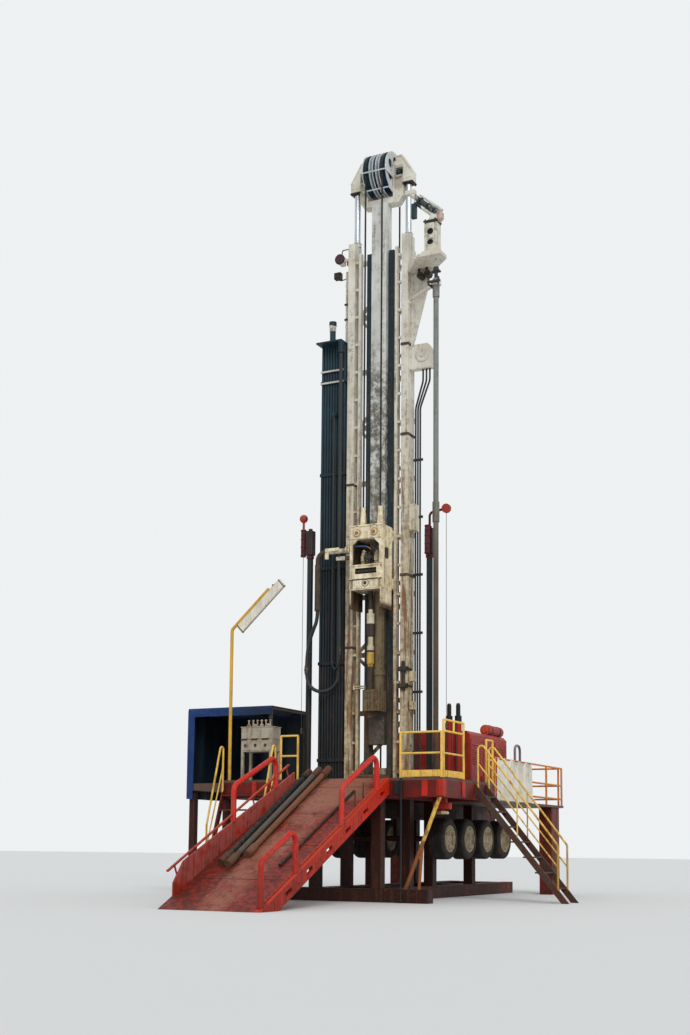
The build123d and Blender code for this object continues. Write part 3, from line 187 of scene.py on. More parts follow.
def slab(low, high, edge=0.006):  # a block between two corners with eased edges
    only()
    centre = [(a + b) / 2 for a, b in zip(low, high)]
    bpy.ops.mesh.primitive_cube_add(size=1, location=centre)
    o = bpy.context.object
    o.scale = [abs(b - a) for a, b in zip(low, high)]
    settle(o)
    return eased(o, edge)


def eased(o, width, segments=1, angle=40):
    if width:
        only(o)
        bevel = o.modifiers.new("eased", "BEVEL")
        bevel.width = width
        bevel.segments = segments
        bevel.limit_method = "ANGLE"
        bevel.angle_limit = math.radians(angle)
        bpy.ops.object.modifier_apply(modifier="eased")
    return o


def drum(start, end, radius, sides=20, edge=0.004, tip=None):  # a round bar, or a cone where tip is given
    only()
    a, b = Vector(start), Vector(end)
    bpy.ops.mesh.primitive_cone_add(
        vertices=sides,
        radius1=radius,
        radius2=radius if tip is None else tip,
        depth=(b - a).length,
        location=(a + b) / 2,
        rotation=(b - a).to_track_quat("Z", "Y").to_euler(),
    )
    return eased(settle(bpy.context.object), edge)


def ring(centre, along, radius, thick, sides=24, around=8):
    only()
    bpy.ops.mesh.primitive_torus_add(
        major_radius=radius,
        minor_radius=thick,
        major_segments=sides,
        minor_segments=around,
        location=centre,
        rotation=Vector(along).to_track_quat("Z", "Y").to_euler(),
    )
    return settle(bpy.context.object)


def kit(blocks=(), bars=(), rings=()):  # slabs, drums and rings from rows of their measures
    return [slab(*row) for row in blocks] + [drum(*row) for row in bars] + [ring(*row) for row in rings]


def copied(o, moves):  # copies of o, each with its own mesh, moved by each vector
    made = []
    for move in moves:
        twin = o.copy()
        twin.data = o.data.copy()
        bpy.context.collection.objects.link(twin)
        twin.data.transform(Matrix.Translation(move))
        made.append(twin)
    return made


def faces(o, chosen):  # in edit mode, select the faces whose centre and normal pass the test
    only(o)
    bpy.ops.object.mode_set(mode="EDIT")
    bpy.ops.mesh.select_mode(type="FACE")
    bpy.ops.mesh.select_all(action="DESELECT")
    bpy.ops.object.mode_set(mode="OBJECT")
    for f in o.data.polygons:
        f.select = bool(chosen(f.center, f.normal))
    bpy.ops.object.mode_set(mode="EDIT")


def editAll():
    bpy.ops.object.mode_set(mode="EDIT")
    bpy.ops.mesh.select_all(action="SELECT")


def leaveEdit():
    bpy.ops.object.mode_set(mode="OBJECT")


def placed(axis, along, a, b):  # a point by its place along an axis and its two places across it
    point = [a, b]
    point.insert("XYZ".index(axis), along)
    return point


def drawn(points, low, high, axis="Y", edge=0):  # a plate: an outline across an axis, extruded from low to high
    only()
    bpy.ops.mesh.primitive_circle_add(vertices=len(points), fill_type="NGON")
    o = bpy.context.object
    for v, (a, b) in zip(o.data.vertices, points):
        v.co = placed(axis, low, a, b)
    editAll()
    bpy.ops.mesh.extrude_region_move(TRANSFORM_OT_translate={"value": placed(axis, high - low, 0, 0)})
    bpy.ops.mesh.select_all(action="SELECT")
    bpy.ops.mesh.normals_make_consistent(inside=False)
    leaveEdit()
    return eased(o, edge)


def panel(axis, wall, out, across, up, proud, edge, margin=0, depth=0):  # a plate on a wall, pressed in inside a margin
    low, high = sorted(wall + out * d for d in proud)
    o = slab(placed(axis, low, across[0], up[0]), placed(axis, high, across[1], up[1]), edge)
    if margin:
        faces(o, lambda c, n: n["XYZ".index(axis)] * out > 0.9)
        bpy.ops.mesh.inset(thickness=margin, depth=-depth, use_individual=True)
        leaveEdit()
    return o


def bolts(axis, centre, circle, count, start, end, radius, sides=6, edge=0.002, turned=0):  # drums round a circle
    made = []
    for k in range(count):
        turn = 2 * math.pi * (k + turned) / count
        a, b = centre[0] + circle * math.cos(turn), centre[1] + circle * math.sin(turn)
        made.append(drum(placed(axis, start, a, b), placed(axis, end, a, b), radius, sides, edge))
    return made


def joined(name, parts, smooth=35):
    only(*parts)
    if len(parts) > 1:
        bpy.ops.object.join()
    o = bpy.context.object
    o.name = name
    o.data.name = name
    if smooth:
        bpy.ops.object.shade_smooth_by_angle(angle=math.radians(smooth))
    return o


def fit(o, body, material, stands=()):  # finish and body of a piece, and hide the nodes it stands for
    o.data.materials.clear()
    o.data.materials.append(material)
    if stands:
        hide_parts(*stands)
    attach(o, body)
    return o


def piece(name, body, material, parts, stands=(), smooth=35):
    return fit(joined(name, parts, smooth), body, material, stands)


def curveOf(name, kind, points, radius, bevel):  # a curve of one spline; a radius makes it round
    data = bpy.data.curves.new(name, "CURVE")
    data.dimensions = "3D"
    line = data.splines.new(kind)
    line.points.add(len(points) - 1)
    for target, point in zip(line.points, points):
        target.co = (*point, 1)
    data.bevel_depth = radius
    data.bevel_resolution = bevel
    data.use_fill_caps = True
    o = bpy.data.objects.new(name, data)
    bpy.context.collection.objects.link(o)
    return o


def route(name, points, diameter=0):  # a smooth line through space; a diameter makes it a tube
    o = curveOf(name, "NURBS", points, diameter / 2, 3)
    line = o.data.splines[0]
    line.order_u = 3
    line.use_endpoint_u = True
    line.resolution_u = 8
    return o


def follow(points):  # the points that a route's line passes through
    guide = route("guide", points)
    bpy.context.view_layer.update()
    mesh = bpy.data.meshes.new_from_object(guide)
    path = [tuple(v.co) for v in mesh.vertices]
    bpy.data.objects.remove(guide)
    return path


def tube(name, points, diameter):  # a route made into a mesh tube
    only(route(name, points, diameter))
    bpy.ops.object.convert(target="MESH")
    bpy.ops.object.shade_smooth_by_angle(angle=math.radians(50))
    return bpy.context.object


def bentBar(points, radius, bevel, bend=0.04):  # a rigid steel bar: straight runs with rounded corners
    corners = [Vector(p) for p in points]
    run = [corners[0]]
    for before, corner, after in zip(corners, corners[1:], corners[2:]):
        ways = [far - corner for far in (before, after)]
        start, end = (corner + way.normalized() * min(bend, way.length * 0.45) for way in ways)
        run += [start.lerp(corner, t / 5).lerp(corner.lerp(end, t / 5), t / 5) for t in range(6)]
    run.append(corners[-1])
    only(curveOf("bentBar", "POLY", run, radius, bevel))
    bpy.ops.object.convert(target="MESH")
    return bpy.context.object


# ---- finishes
weather = {  # what a look has unless it says otherwise; its lowColour fades out between low and high
    "low": 2.0, "high": 16.0, "lowShare": 0.9, "lower": 0.10, "spotScale": 7, "runBy": (15, 15, 0.8),
    "dirt": 0.5, "dirtColour": (70, 62, 50), "rustEdge": 0.62, "streaks": 0.7, "chips": 0.9,
    "rust": (142, 84, 46), "rustDark": (74, 44, 30), "rough": 0.48, "relief": 0.35,
}


def weathered(name, look, zones=None):  # paint on steel: fading, dirt, runs of rust and chips, worse lower down
    look = {**weather, **look}
    f = Finish(name)
    at = f.place()
    x, y, z = f.axes(at)
    lowness = z.fall(look["low"], look["high"])
    patches = f.noise(at, 1.6, 3, 0.6)
    grain = f.noise(at, 42, 4, 0.65)
    runs = f.noise(at, 1, 5, 0.62, look["runBy"])
    spots = f.noise(at, look["spotScale"], 9, 0.7)
    colour = f.mix(patches.rise(0.32, 0.68), tone(*look["colour"]), tone(*look["faded"]))
    if "lowColour" in look:
        colour = f.mix(lowness * look["lowShare"], colour, tone(*look["lowColour"]))
    if zones:
        for mask, other in zones(f, x, y, z):
            colour = f.mix(mask, colour, tone(*other))
    dirt = (spots * 0.5 + runs * 0.5 + lowness * 0.10).rise(0.48, 0.66) * look["dirt"]
    colour = f.mix(dirt, colour, tone(*look["dirtColour"]))
    edge = look["rustEdge"]
    streak = (runs + lowness * look["lower"]).rise(edge, edge + 0.07) * look["streaks"]
    chips = (spots + lowness * look["lower"] * 0.5).rise(edge + 0.02, edge + 0.05)
    rust = streak.most(chips * look["chips"])
    colour = f.mix(rust, colour, f.mix(grain.rise(0.4, 0.62), tone(*look["rust"]), tone(*look["rustDark"])))
    rough = (look["rough"] + rust * 0.35 + dirt * 0.2 + grain * 0.06).least(0.95)
    height = grain * 0.25 + spots * 0.35 - chips * 0.5
    sockets = {
        "Base Color": colour, "Roughness": rough, "Normal": f.bump(height, look["relief"], 0.006),
        "Specular IOR Level": 0.25,
    }
    if "metal" in look:
        sockets["Metallic"] = (1 - rust) * look["metal"]
    return f.surface(sockets)


def coat(material, *names):
    for name in names:
        data = nodes[name].data
        data.materials.clear()
        data.materials.append(material)


# ---- hoses that cross the travel: a hanging and a rising leg each, and a coupling that rides with the crown where they meet
rubber = Finish("hoseRubber")
rubberAt = rubber.place()
rubberDust = rubber.noise(rubberAt, 5, 5, 0.65).rise(0.45, 0.7)
rubberGrain = rubber.noise(rubberAt, 90, 3, 0.6)
hoseRubber = rubber.surface({
    "Base Color": rubber.mix(rubberDust * 0.5, tone(22, 24, 26), tone(74, 68, 58)),
    "Roughness": 0.5 + rubberDust * 0.3,
    "Normal": rubber.bump(rubberGrain, 0.25, 0.002),
})

couplingSteel = weathered("couplingSteel", {
    "colour": (96, 92, 86), "faded": (70, 66, 62), "streaks": 0.5, "chips": 0.4, "rough": 0.42, "metal": 0.7,
    "low": 2, "high": 12, "relief": 0.2,
})

mudHose = {
    "diameter": 0.09,
    "hanging": [
        (-0.93, -0.3, 13.6), (-0.93, -0.3, 5.578), (-0.93, -0.3, 5.244), (-1.164, -0.343, 5.01),
        (-1.496, -0.405, 5.01), (-1.73, -0.448, 5.244), (-1.73, -0.448, 5.56),
    ],
    "rising": [
        (-1.73, -0.448, 5.56), (-1.73, -0.448, 5.87), (-1.66, -0.466, 6.25), (-1.545, -0.48, 6.53),
        (-1.42, -0.5, 6.78), (-1.42, -0.5, 7.0),
    ],
}
serviceHose = {
    "diameter": 0.05,
    "hanging": [
        (-1.15, -0.22, 12.0), (-1.15, -0.22, 5.958), (-1.15, -0.22, 5.719), (-1.026, -0.335, 5.55),
        (-0.852, -0.497, 5.55), (-0.728, -0.612, 5.719), (-0.728, -0.612, 5.95),
    ],
    "rising": [
        (-0.728, -0.612, 5.95), (-0.728, -0.612, 6.256), (-0.738, -0.604, 6.85), (-0.768, -0.583, 7.43),
        (-0.8, -0.56, 7.88), (-0.8, -0.56, 8.2),
    ],
}


def hoseCoupling(name, centre, radius):  # two swaged sleeves and a union nut where the legs meet
    x, y, z = centre
    parts = kit(bars=[
        ((x, y, z - 0.11), (x, y, z + 0.11), radius * 1.22, 20, 0.008),
        ((x, y, z - 0.035), (x, y, z + 0.035), radius * 1.5, 6, 0.006),
    ], rings=[((x, y, z + up), (0, 0, 1), radius * 1.22, 0.005) for up in (-0.075, 0.075)])
    return piece(name, "crown", couplingSteel, parts)


def loopedHose(name, hose, fixedNode, movingNode):
    for leg, bodyA, bodyB, node, margin in (
        ("hanging", "root", "crown", fixedNode, 0.6),
        ("rising", "crown", "carriage", movingNode, 0.05),
    ):
        points = hose[leg]
        path = follow(points)
        o = tube(name + leg.capitalize(), points, hose["diameter"])
        o.data.materials.append(hoseRubber)
        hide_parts(node)
        low, high = min(points[0][2], points[-1][2]), max(points[0][2], points[-1][2])
        if leg == "hanging":
            low + margin
            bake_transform(o)
            coupling = hoseCoupling(name + "Coupling", points[-1], hose["diameter"] / 2)
        else:
            low + margin
            high - margin
            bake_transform(o)


loopedHose("mudHose", mudHose, "mud_hose_fixed", "mud_hose_moving")
loopedHose("serviceHose", serviceHose, "service_hose_fixed", "service_hose_moving")


# ---- davit lines: each hangs from its head, a hook and a round weight on its end
davitLine = {
    "diameter": 0.012,
    "inside": 0.05,  # the end held in the weight
    "foot": 4.15,
    "heads": {"davit_left": (-2.0, -0.2, 8.46), "davit_right": (2.0, -0.45, 9.1397)},
}
for body, (x, y, top) in davitLine["heads"].items():
    foot = davitLine["foot"]
    weight = kit(bars=[
        ((x, y, foot - 0.15), (x, y, foot - 0.03), 0.03, 16, 0.006),
        ((x, y, foot - 0.03), (x, y, foot), 0.03, 16, 0.002, 0.012),
    ], rings=[((x, y, foot - 0.158), (0, 1, 0), 0.022, 0.006, 20, 6)])
    hook = piece(body + "_hook", body, couplingSteel, weight)
    length = top - foot + davitLine["inside"]
    line = route(body + "_line", [(x, y, top - length * k / 4) for k in range(5)], davitLine["diameter"])
    fit(line, body, couplingSteel, [body.replace("davit_", "davit_line_")])
print("cords done")


# ---- wire ropes of the hoist: carriage to crown in front, mast foot to crown behind
def ropeFinish():
    f = Finish("wireRope")
    at = f.place()
    twist = f.node("ShaderNodeTexWave", {"bands_direction": "DIAGONAL"}, {
        "Vector": at, "Scale": 26, "Distortion": 0.4, "Detail": 1,
    }, 1)
    grease = f.noise(at, 6, 4, 0.6).rise(0.4, 0.65)
    colour = f.mix(twist.rise(0.25, 0.75), tone(26, 25, 24), tone(74, 70, 66))
    colour = f.mix(grease * 0.6, colour, tone(30, 27, 24))
    return f.surface({
        "Base Color": colour, "Roughness": 0.42 + grease * 0.2, "Metallic": 0.75,
        "Normal": f.bump(twist, 0.6, 0.006),
    })


wireRope = ropeFinish()
hoistRope = {
    "diameter": 0.045, "offset": 0.23, "front": -0.39, "back": 0.67, "socket": 9.48, "foot": 3.15, "top": 18.27,
    "cuts": 40,
}


def straightRope(x, y, low, high):  # cut along its length
    only()
    middle = (x, y, (low + high) / 2)
    bpy.ops.mesh.primitive_cylinder_add(
        vertices=12, radius=hoistRope["diameter"] / 2, depth=high - low, location=middle)
    o = settle(bpy.context.object)
    bpy.ops.object.mode_set(mode="EDIT")
    bpy.ops.mesh.select_all(action="DESELECT")
    leaveEdit()
    for e in o.data.edges:
        a, b = (o.data.vertices[v].co for v in e.vertices)
        e.select = abs(a.z - b.z) > 1
    bpy.ops.object.mode_set(mode="EDIT")
    bpy.ops.mesh.select_mode(type="EDGE")
    bpy.ops.mesh.subdivide(number_cuts=hoistRope["cuts"])
    leaveEdit()
    return o


socket, foot, top = hoistRope["socket"], hoistRope["foot"], hoistRope["top"]
for name, node, y, low, pair, start, end in (
    ("hoistRopes", "hoist_ropes", hoistRope["front"], socket, ("crown", "carriage"), top, socket),
    ("anchorRopes", "anchor_ropes", hoistRope["back"], foot, ("root", "crown"), foot, top),
):
    ropes = [straightRope(x, y, low, top) for x in (-hoistRope["offset"], hoistRope["offset"])]
    o = joined(name, ropes, 50)
    o.data.materials.append(wireRope)
    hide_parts(node)
    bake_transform(o)
coat(wireRope, "rope_wraps")
print("ropes done")


# ---- cloth: the shelter's tarp and the blank sheet on the walkway rail
def clothFinish(name, base, other, stain, rough, zones=None):
    f = Finish(name)
    at = f.place()
    folds = f.noise(at, 2.2, 5, 0.6)
    stains = f.noise(at, 3.4, 6, 0.68)
    threads = f.noise(at, 260, 2, 0.5)
    colour = f.mix(folds.rise(0.35, 0.65), tone(*base), tone(*other))
    colour = f.mix(stains.rise(0.5, 0.72) * 0.4, colour, tone(*stain))
    if zones:
        for mask, zoneColour in zones(*f.axes(at)):
            colour = f.mix(mask, colour, tone(*zoneColour))
    return f.surface({
        "Base Color": colour, "Roughness": rough - 0.12 * folds, "Specular IOR Level": 0.25,
        "Normal": f.bump(threads * 0.4 + folds * 0.6, 0.3, 0.004),
    })


tarpLow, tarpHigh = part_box("shelter_tarp")


def tarpZones(x, y, z):  # dark painted shade where it is seen from inside, a paler roof with a painted sheen, a painted shade on the front
    roof = x.rise(tarpLow.x + 0.03, tarpLow.x + 0.05) * y.within(tarpLow.y + 0.04, tarpHigh.y - 0.04, 0.02)
    return [
        (y.rise(tarpLow.y + 0.06, tarpLow.y + 0.12) * z.fall(tarpHigh.z - 0.16, tarpHigh.z - 0.08), (16, 30, 40)),
        (roof * z.rise(tarpHigh.z - 0.14, tarpHigh.z - 0.12) * 0.6, (104, 126, 140)),
        (y.fall(tarpLow.y + 0.06, tarpLow.y + 0.07) * x.rise(tarpLow.x + 1.1, tarpLow.x + 1.9) * 0.7, (14, 34, 48)),
    ]


blueCloth = clothFinish("blueTarp", (14, 44, 94), (22, 58, 112), (62, 84, 100), 0.55, tarpZones)
whiteCloth = clothFinish("whiteSheet", (226, 222, 210), (206, 200, 184), (170, 146, 108), 0.8)
hanging = {
    "vertex_group_mass": "held", "quality": 6, "mass": 0.3, "tension_stiffness": 12, "compression_stiffness": 12,
    "shear_stiffness": 5, "bending_stiffness": 0.4, "air_damping": 2,
}
hangingFrames = 30  # steps until a sheet is at rest


def gridSheet(width, height, across, up):  # a flat sheet in the XY plane, its corner at the origin
    only()
    bpy.ops.mesh.primitive_grid_add(x_subdivisions=across, y_subdivisions=up, size=1, location=(0.5, 0.5, 0))
    o = settle(bpy.context.object)
    o.scale = (width, height, 1)
    return settle(o)


def drape(o, pinned, slack):  # hang a sheet by its pinned points
    group = o.vertex_groups.new(name="held")
    group.add(pinned, 1, "REPLACE")
    cloth = o.modifiers.new("hang", "CLOTH")
    for key, value in hanging.items():
        setattr(cloth.settings, key, value)
    cloth.settings.shrink_min = -slack
    cloth.point_cache.frame_end = hangingFrames + 2
    for step in range(1, hangingFrames + 1):
        bpy.context.scene.frame_set(step)
    only(o)
    bpy.ops.object.modifier_apply(modifier="hang")
    bpy.context.scene.frame_set(1)


# a blank cloth, tied to the rails along its top and at its lower corners
sheetLow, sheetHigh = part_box("banner")
sheet = {"across": 60, "up": 32, "ties": 6, "proud": 0.006, "slack": 0.03, "sag": 0.045, "wave": 0.008}
width = sheetHigh.y - sheetLow.y
height = sheetHigh.z - sheetLow.z
banner = gridSheet(width, height, sheet["across"], sheet["up"])
banner.data.transform(Matrix.Translation((sheetLow.x + sheet["proud"], sheetLow.y, sheetLow.z)) @ Matrix((
    (0, 0, 1, 0), (1, 0, 0, 0), (0, 1, 0, 0), (0, 0, 0, 1))))
ties = []
for v in banner.data.vertices:
    share = (v.co.y - sheetLow.y) / width * (sheet["ties"] - 1)
    if v.co.z > sheetHigh.z - 0.001 and abs(share - round(share)) < 0.06:
        ties.append(v.index)
    if v.co.z < sheetLow.z + 0.001 and (share < 0.05 or share > sheet["ties"] - 1.05):
        ties.append(v.index)
    v.co.x += 0.004 * math.sin(v.co.y * 9) * math.sin(v.co.z * 7 + v.co.y * 3)
drape(banner, ties, sheet["slack"])
for v in banner.data.vertices:  # it hangs in the room of its CAD solid, its top edge slack between the ties
    share = (v.co.y - sheetLow.y) / width * (sheet["ties"] - 1)
    rise = (v.co.z - sheetLow.z) / height
    v.co.z -= sheet["sag"] * abs(math.sin(math.pi * share)) * max(0, rise) ** 1.5
    v.co.x += sheet["wave"] * math.sin(math.pi * 2 * share + 2.5 * (v.co.z - sheetLow.z) / height)
    v.co.x = min(max(v.co.x, sheetLow.x + 0.003), sheetHigh.x + 0.02)
banner.name = "bannerSheet"
only(banner)
bpy.ops.object.shade_smooth()
fit(banner, "root", whiteCloth, ["banner"])
print("blank sheet done")


# the tarp: one cover over the roof, down the left and the back, and part of the front
tarp = {"pitch": 0.07, "valance": 0.22, "curtain": 0.22, "backLift": 0.45, "inset": 0.012, "slack": 0.025,
        "sag": 0.035, "nearBar": 0.05, "cut": 1.05}  # cut: the cloth's flat area over the cover's


def tarpCover():
    low, high = tarpLow, tarpHigh
    inset = tarp["inset"]
    only()
    centre = [(a + b) / 2 for a, b in zip(low, high)]
    bpy.ops.mesh.primitive_cube_add(size=1, location=centre)
    o = bpy.context.object
    o.scale = [b - a - 2 * inset for a, b in zip(low, high)]
    settle(o)
    o.data.transform(Matrix.Translation((0, 0, inset - 0.004)))
    faces(o, lambda c, n: n.z < -0.5 or n.x > 0.5)
    bpy.ops.mesh.delete(type="FACE")
    for axis in range(3):  # cut the cover into even squares
        place, end = low[axis], high[axis]
        count = max(2, round((end - place) / tarp["pitch"]))
        for k in range(1, count):
            at = [0, 0, 0]
            at[axis] = place + (end - place) * k / count
            direction = [0, 0, 0]
            direction[axis] = 1
            bpy.ops.mesh.select_all(action="SELECT")
            bpy.ops.mesh.bisect(plane_co=at, plane_no=direction)
    leaveEdit()
    frontOpen = lambda c: c.y < low.y + 0.1 and c.x > low.x + tarp["curtain"] and c.z < high.z - tarp["valance"]
    backOpen = lambda c: c.y > high.y - 0.1 and c.z < low.z + tarp["backLift"]
    faces(o, lambda c, n: abs(n.y) > 0.5 and (frontOpen(c) or backOpen(c)))
    bpy.ops.mesh.delete(type="FACE")
    leaveEdit()
    return o


cover = tarpCover()
frameLow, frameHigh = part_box("shelter_frame")
middle = (frameLow.x + frameHigh.x) / 2
roofZ = tarpHigh.z - 0.03
bars = []
for v in cover.data.vertices:
    toBars = [abs(v.co.x - x) for x in (frameLow.x, middle, frameHigh.x)]
    toBars += [abs(v.co.y - y) for y in (frameLow.y, frameHigh.y)]
    if v.co.z > roofZ and min(toBars) < tarp["nearBar"]:
        bars.append(v.index)
    elif v.co.z > roofZ:
        across = (v.co.x - frameLow.x) / (middle - frameLow.x)
        along = (v.co.y - frameLow.y) / (frameHigh.y - frameLow.y)
        v.co.z -= tarp["sag"] * abs(math.sin(math.pi * across)) * max(0, math.sin(math.pi * along))
        v.co.z -= 0.01 * math.sin(v.co.x * 7) * math.sin(v.co.y * 5)
    else:
        v.co.y += 0.006 * math.sin(v.co.x * 11 + v.co.z)
        v.co.x += 0.006 * math.sin(v.co.y * 12 + v.co.z * 0.7)
drape(cover, bars, tarp["slack"])
for v in cover.data.vertices:  # the sides hang outside the posts and inside the cover's CAD box
    v.co.x = max(v.co.x, tarpLow.x + 0.003)
    v.co.y = min(max(v.co.y, tarpLow.y - 0.02), tarpHigh.y + 0.02)
    v.co.z = min(v.co.z, tarpHigh.z)
    hangs = v.co.z < roofZ - 0.25
    if hangs and v.co.x < frameLow.x + 0.02:
        v.co.x = min(v.co.x, frameLow.x - 0.006)
    if hangs and v.co.y < frameLow.y + 0.1:
        v.co.y = min(v.co.y, frameLow.y - 0.006)
    if hangs and v.co.y > frameHigh.y - 0.1:
        v.co.y = max(v.co.y, frameHigh.y + 0.006)
cover.name = "shelterTarp"
only(cover)
bpy.ops.object.shade_smooth()
fit(cover, "root", blueCloth, ["shelter_tarp"])


# ---- finishes of the CAD nodes
creamLook = {
    "colour": (226, 222, 210), "faded": (208, 200, 182), "lowColour": (210, 188, 146), "lowShare": 0.8,
    "low": 3.5, "high": 14.5, "dirt": 0.65, "dirtColour": (92, 76, 54), "rustEdge": 0.64, "lower": 0.12,
    "streaks": 0.7, "chips": 0.8, "rust": (150, 88, 44), "rustDark": (82, 50, 34), "rough": 0.5,
    "runBy": (11, 11, 0.7),
}
creamPaint = weathered("creamPaint", creamLook)


def carriageZones(f, x, y, z):  # painted shade in the window's back and on the underside; brown at the lower block's sides and in rings round the bosses and the eye
    face = y.fall(-0.712, -0.706)
    boss = (abs(x) - 0.23) * (abs(x) - 0.23) + (z - 8.80) * (z - 8.80)
    eye = x * x + (z - 7.555) * (z - 7.555)
    return [
        # painted shade: the window's back, then two darker bands on the underside
        (y.rise(-0.69, -0.66) * abs(x).fall(0.37, 0.38) * z.within(7.60, 8.64, 0.02), (34, 30, 28)),
        (z.fall(7.38, 7.41) * abs(x).fall(0.385, 0.40), (44, 38, 34)), (z.fall(7.00, 7.15), (58, 48, 40)),
        (abs(x).within(0.34, 0.405) * z.within(7.43, 7.64) * y.fall(-0.71, -0.70) * 0.6, (120, 84, 52)),
        (boss.within(0.0050, 0.0110, 0.0010) * face * 0.55, (146, 96, 54)),
        (boss.fall(0.0018, 0.0024) * face, (158, 112, 76)),
        (eye.within(0.0050, 0.0095, 0.0010) * face * 0.8, (140, 94, 56)),
        (eye.fall(0.0022, 0.0030) * face * 0.8, (112, 78, 54)),
    ]


carriagePaint = weathered("carriagePaint", {
    **creamLook, "colour": (246, 236, 208), "faded": (234, 218, 180), "lowShare": 0, "dirt": 0.55, "spotScale": 9,
    "dirtColour": (126, 96, 60), "lower": 0, "rustEdge": 0.60, "streaks": 0.5, "runBy": (7, 7, 1.6),
    "rust": (170, 100, 50), "rustDark": (92, 54, 32),
}, carriageZones)
motorPaint = weathered("motorPaint", {
    **creamLook, "colour": (232, 214, 174), "faded": (206, 184, 142), "lowShare": 0, "dirt": 0.7,
    "dirtColour": (84, 62, 42),
})
crownPaint = weathered("crownPaint", {**creamLook, "dirt": 0.3, "streaks": 0.4, "chips": 0.5}, lambda f, x, y, z: [
    # painted shade on the frame's front beside the drums, in the side recess
    (abs(x).within(0.38, 0.60, 0.03) * z.within(17.80, 18.44, 0.05) * y.fall(0.06, 0.10) * 0.55, (142, 128, 112)),
])
coat(creamPaint, "mast_posts", "mast_back_bracing", "mast_arms", "mast_fittings")
coat(carriagePaint, "carriage_frame")
coat(weathered("gooseneckPaint", {**creamLook, "lowShare": 0, "dirt": 0.8}, lambda f, x, y, z: [
    (x.fall(-1.20, -1.16), (62, 50, 44)), (x.within(-0.62, -0.42), (70, 60, 50)),
]), "carriage_gooseneck")
coat(crownPaint, "crown_frame")
coat(weathered("railPaint", {**creamLook, "rustEdge": 0.66}, lambda f, x, y, z: [
    (abs(x).fall(0.42, 0.43), (26, 46, 56)),  # the inner channels are dark, the guide rails cream
]), "mast_rails")


def columnZones(f, x, y, z):  # greasy marbling where the carriage passes, and darker below the carriage
    at = f.place()
    marble = f.noise(at, 5.5, 8, 0.75)
    fine = f.noise(at, 22, 6, 0.7)
    greasy = z.fall(12.6, 13.6)
    return [
        (greasy * marble.rise(0.40, 0.56) * 0.8, (112, 110, 100)),
        (greasy * (marble * 0.5 + fine * 0.5).rise(0.48, 0.58) * 0.9, (66, 58, 46)),
        (greasy * fine.rise(0.55, 0.63) * 0.75, (206, 206, 196)),
        # darker below the carriage
        (z.fall(6.6, 8.2) * 0.85, (44, 40, 36)),
    ]


coat(weathered("columnPaint", {
    **creamLook, "colour": (220, 220, 214), "faded": (202, 202, 194), "lowShare": 0, "streaks": 0.25, "chips": 0.5,
    "rustEdge": 0.67, "lower": 0.04,
}, columnZones), "lift_column")
tealLook = {
    "colour": (24, 44, 54), "faded": (34, 60, 72), "low": 3, "high": 14, "lowColour": (12, 20, 24), "dirt": 0.45,
    "dirtColour": (40, 42, 40), "streaks": 0.12, "chips": 0.15, "rough": 0.45,
}
tealPaint = weathered("tealPaint", tealLook)
coat(tealPaint, "hose_bank", "davit_posts")

redLook = {
    "colour": (172, 30, 18), "faded": (150, 36, 24), "low": 0.5, "high": 5, "lowColour": (124, 26, 16),
    "lowShare": 0.6, "dirt": 0.5, "dirtColour": (72, 32, 22), "streaks": 0.4, "chips": 0.6,
    "rust": (116, 62, 38), "rustDark": (58, 34, 26), "rough": 0.45,
}
redPaint = weathered("redPaint", redLook)
coat(weathered("guardPaint", {
    **redLook, "colour": (204, 40, 28), "faded": (188, 62, 48), "low": 0, "high": 2, "dirt": 0.4,
}), "ramp_guards")
coat(weathered("davitRed", {
    **redLook, "colour": (96, 26, 30), "faded": (78, 30, 34), "low": 0, "high": 2,
}, lambda f, x, y, z: [
    (z.rise(9.12, 9.14) * abs(x).rise(1.90, 1.92), (168, 62, 48)),
]), "davit_head_left", "davit_head_right")
# very dark red, darkened in part as painted shade under the floor; the rear legs past y 5.7 keep a lighter, lit red
darkRed = weathered("darkRedPaint", {
    **redLook, "colour": (76, 16, 9), "faded": (56, 17, 12), "lowColour": (48, 18, 11), "dirt": 0.75,
    "dirtColour": (32, 22, 16),
}, lambda f, x, y, z: [(y.rise(5.7, 5.8), (116, 36, 24))])
coat(darkRed, "base_frame", "columns", "trailer_frame")
stairSteel = weathered("stairSteel", {
    **redLook, "colour": (64, 48, 38), "faded": (84, 66, 54), "lowShare": 0, "dirtColour": (40, 30, 24),
    "rust": (126, 66, 44), "rustEdge": 0.58,
})
coat(stairSteel, "right_stair")
coat(weathered("leftStairPaint", {
    **redLook, "colour": (92, 30, 22), "faded": (70, 34, 28), "dirt": 0.7,
}), "left_stair")


def edgeZones(f, x, y, z):  # bright corner blocks on the floor's dark edge
    front = y.fall(-1.52, -1.5) * z.rise(2.38, 2.4)
    blocks = x.within(2.30, 2.46) + x.within(1.95, 2.10)
    return [(front * blocks.least(1), (176, 44, 28))]


coat(weathered("edgePaint", {
    **redLook, "colour": (112, 22, 14), "faded": (82, 22, 16), "low": 0, "high": 1, "dirt": 0.7,
    "dirtColour": (44, 24, 20),
}, edgeZones), "floor_frame")


def wallZones(f, x, y, z):  # the inner face of the left wall has worn pink
    wornAndSheen = f.noise(f.place(), 2.2, 5, 0.65)
    return [(x.fall(-1.10, -1.09) * z.rise(0.4, 0.6) * wornAndSheen.rise(0.3, 0.5) * 0.75, (168, 92, 84))]


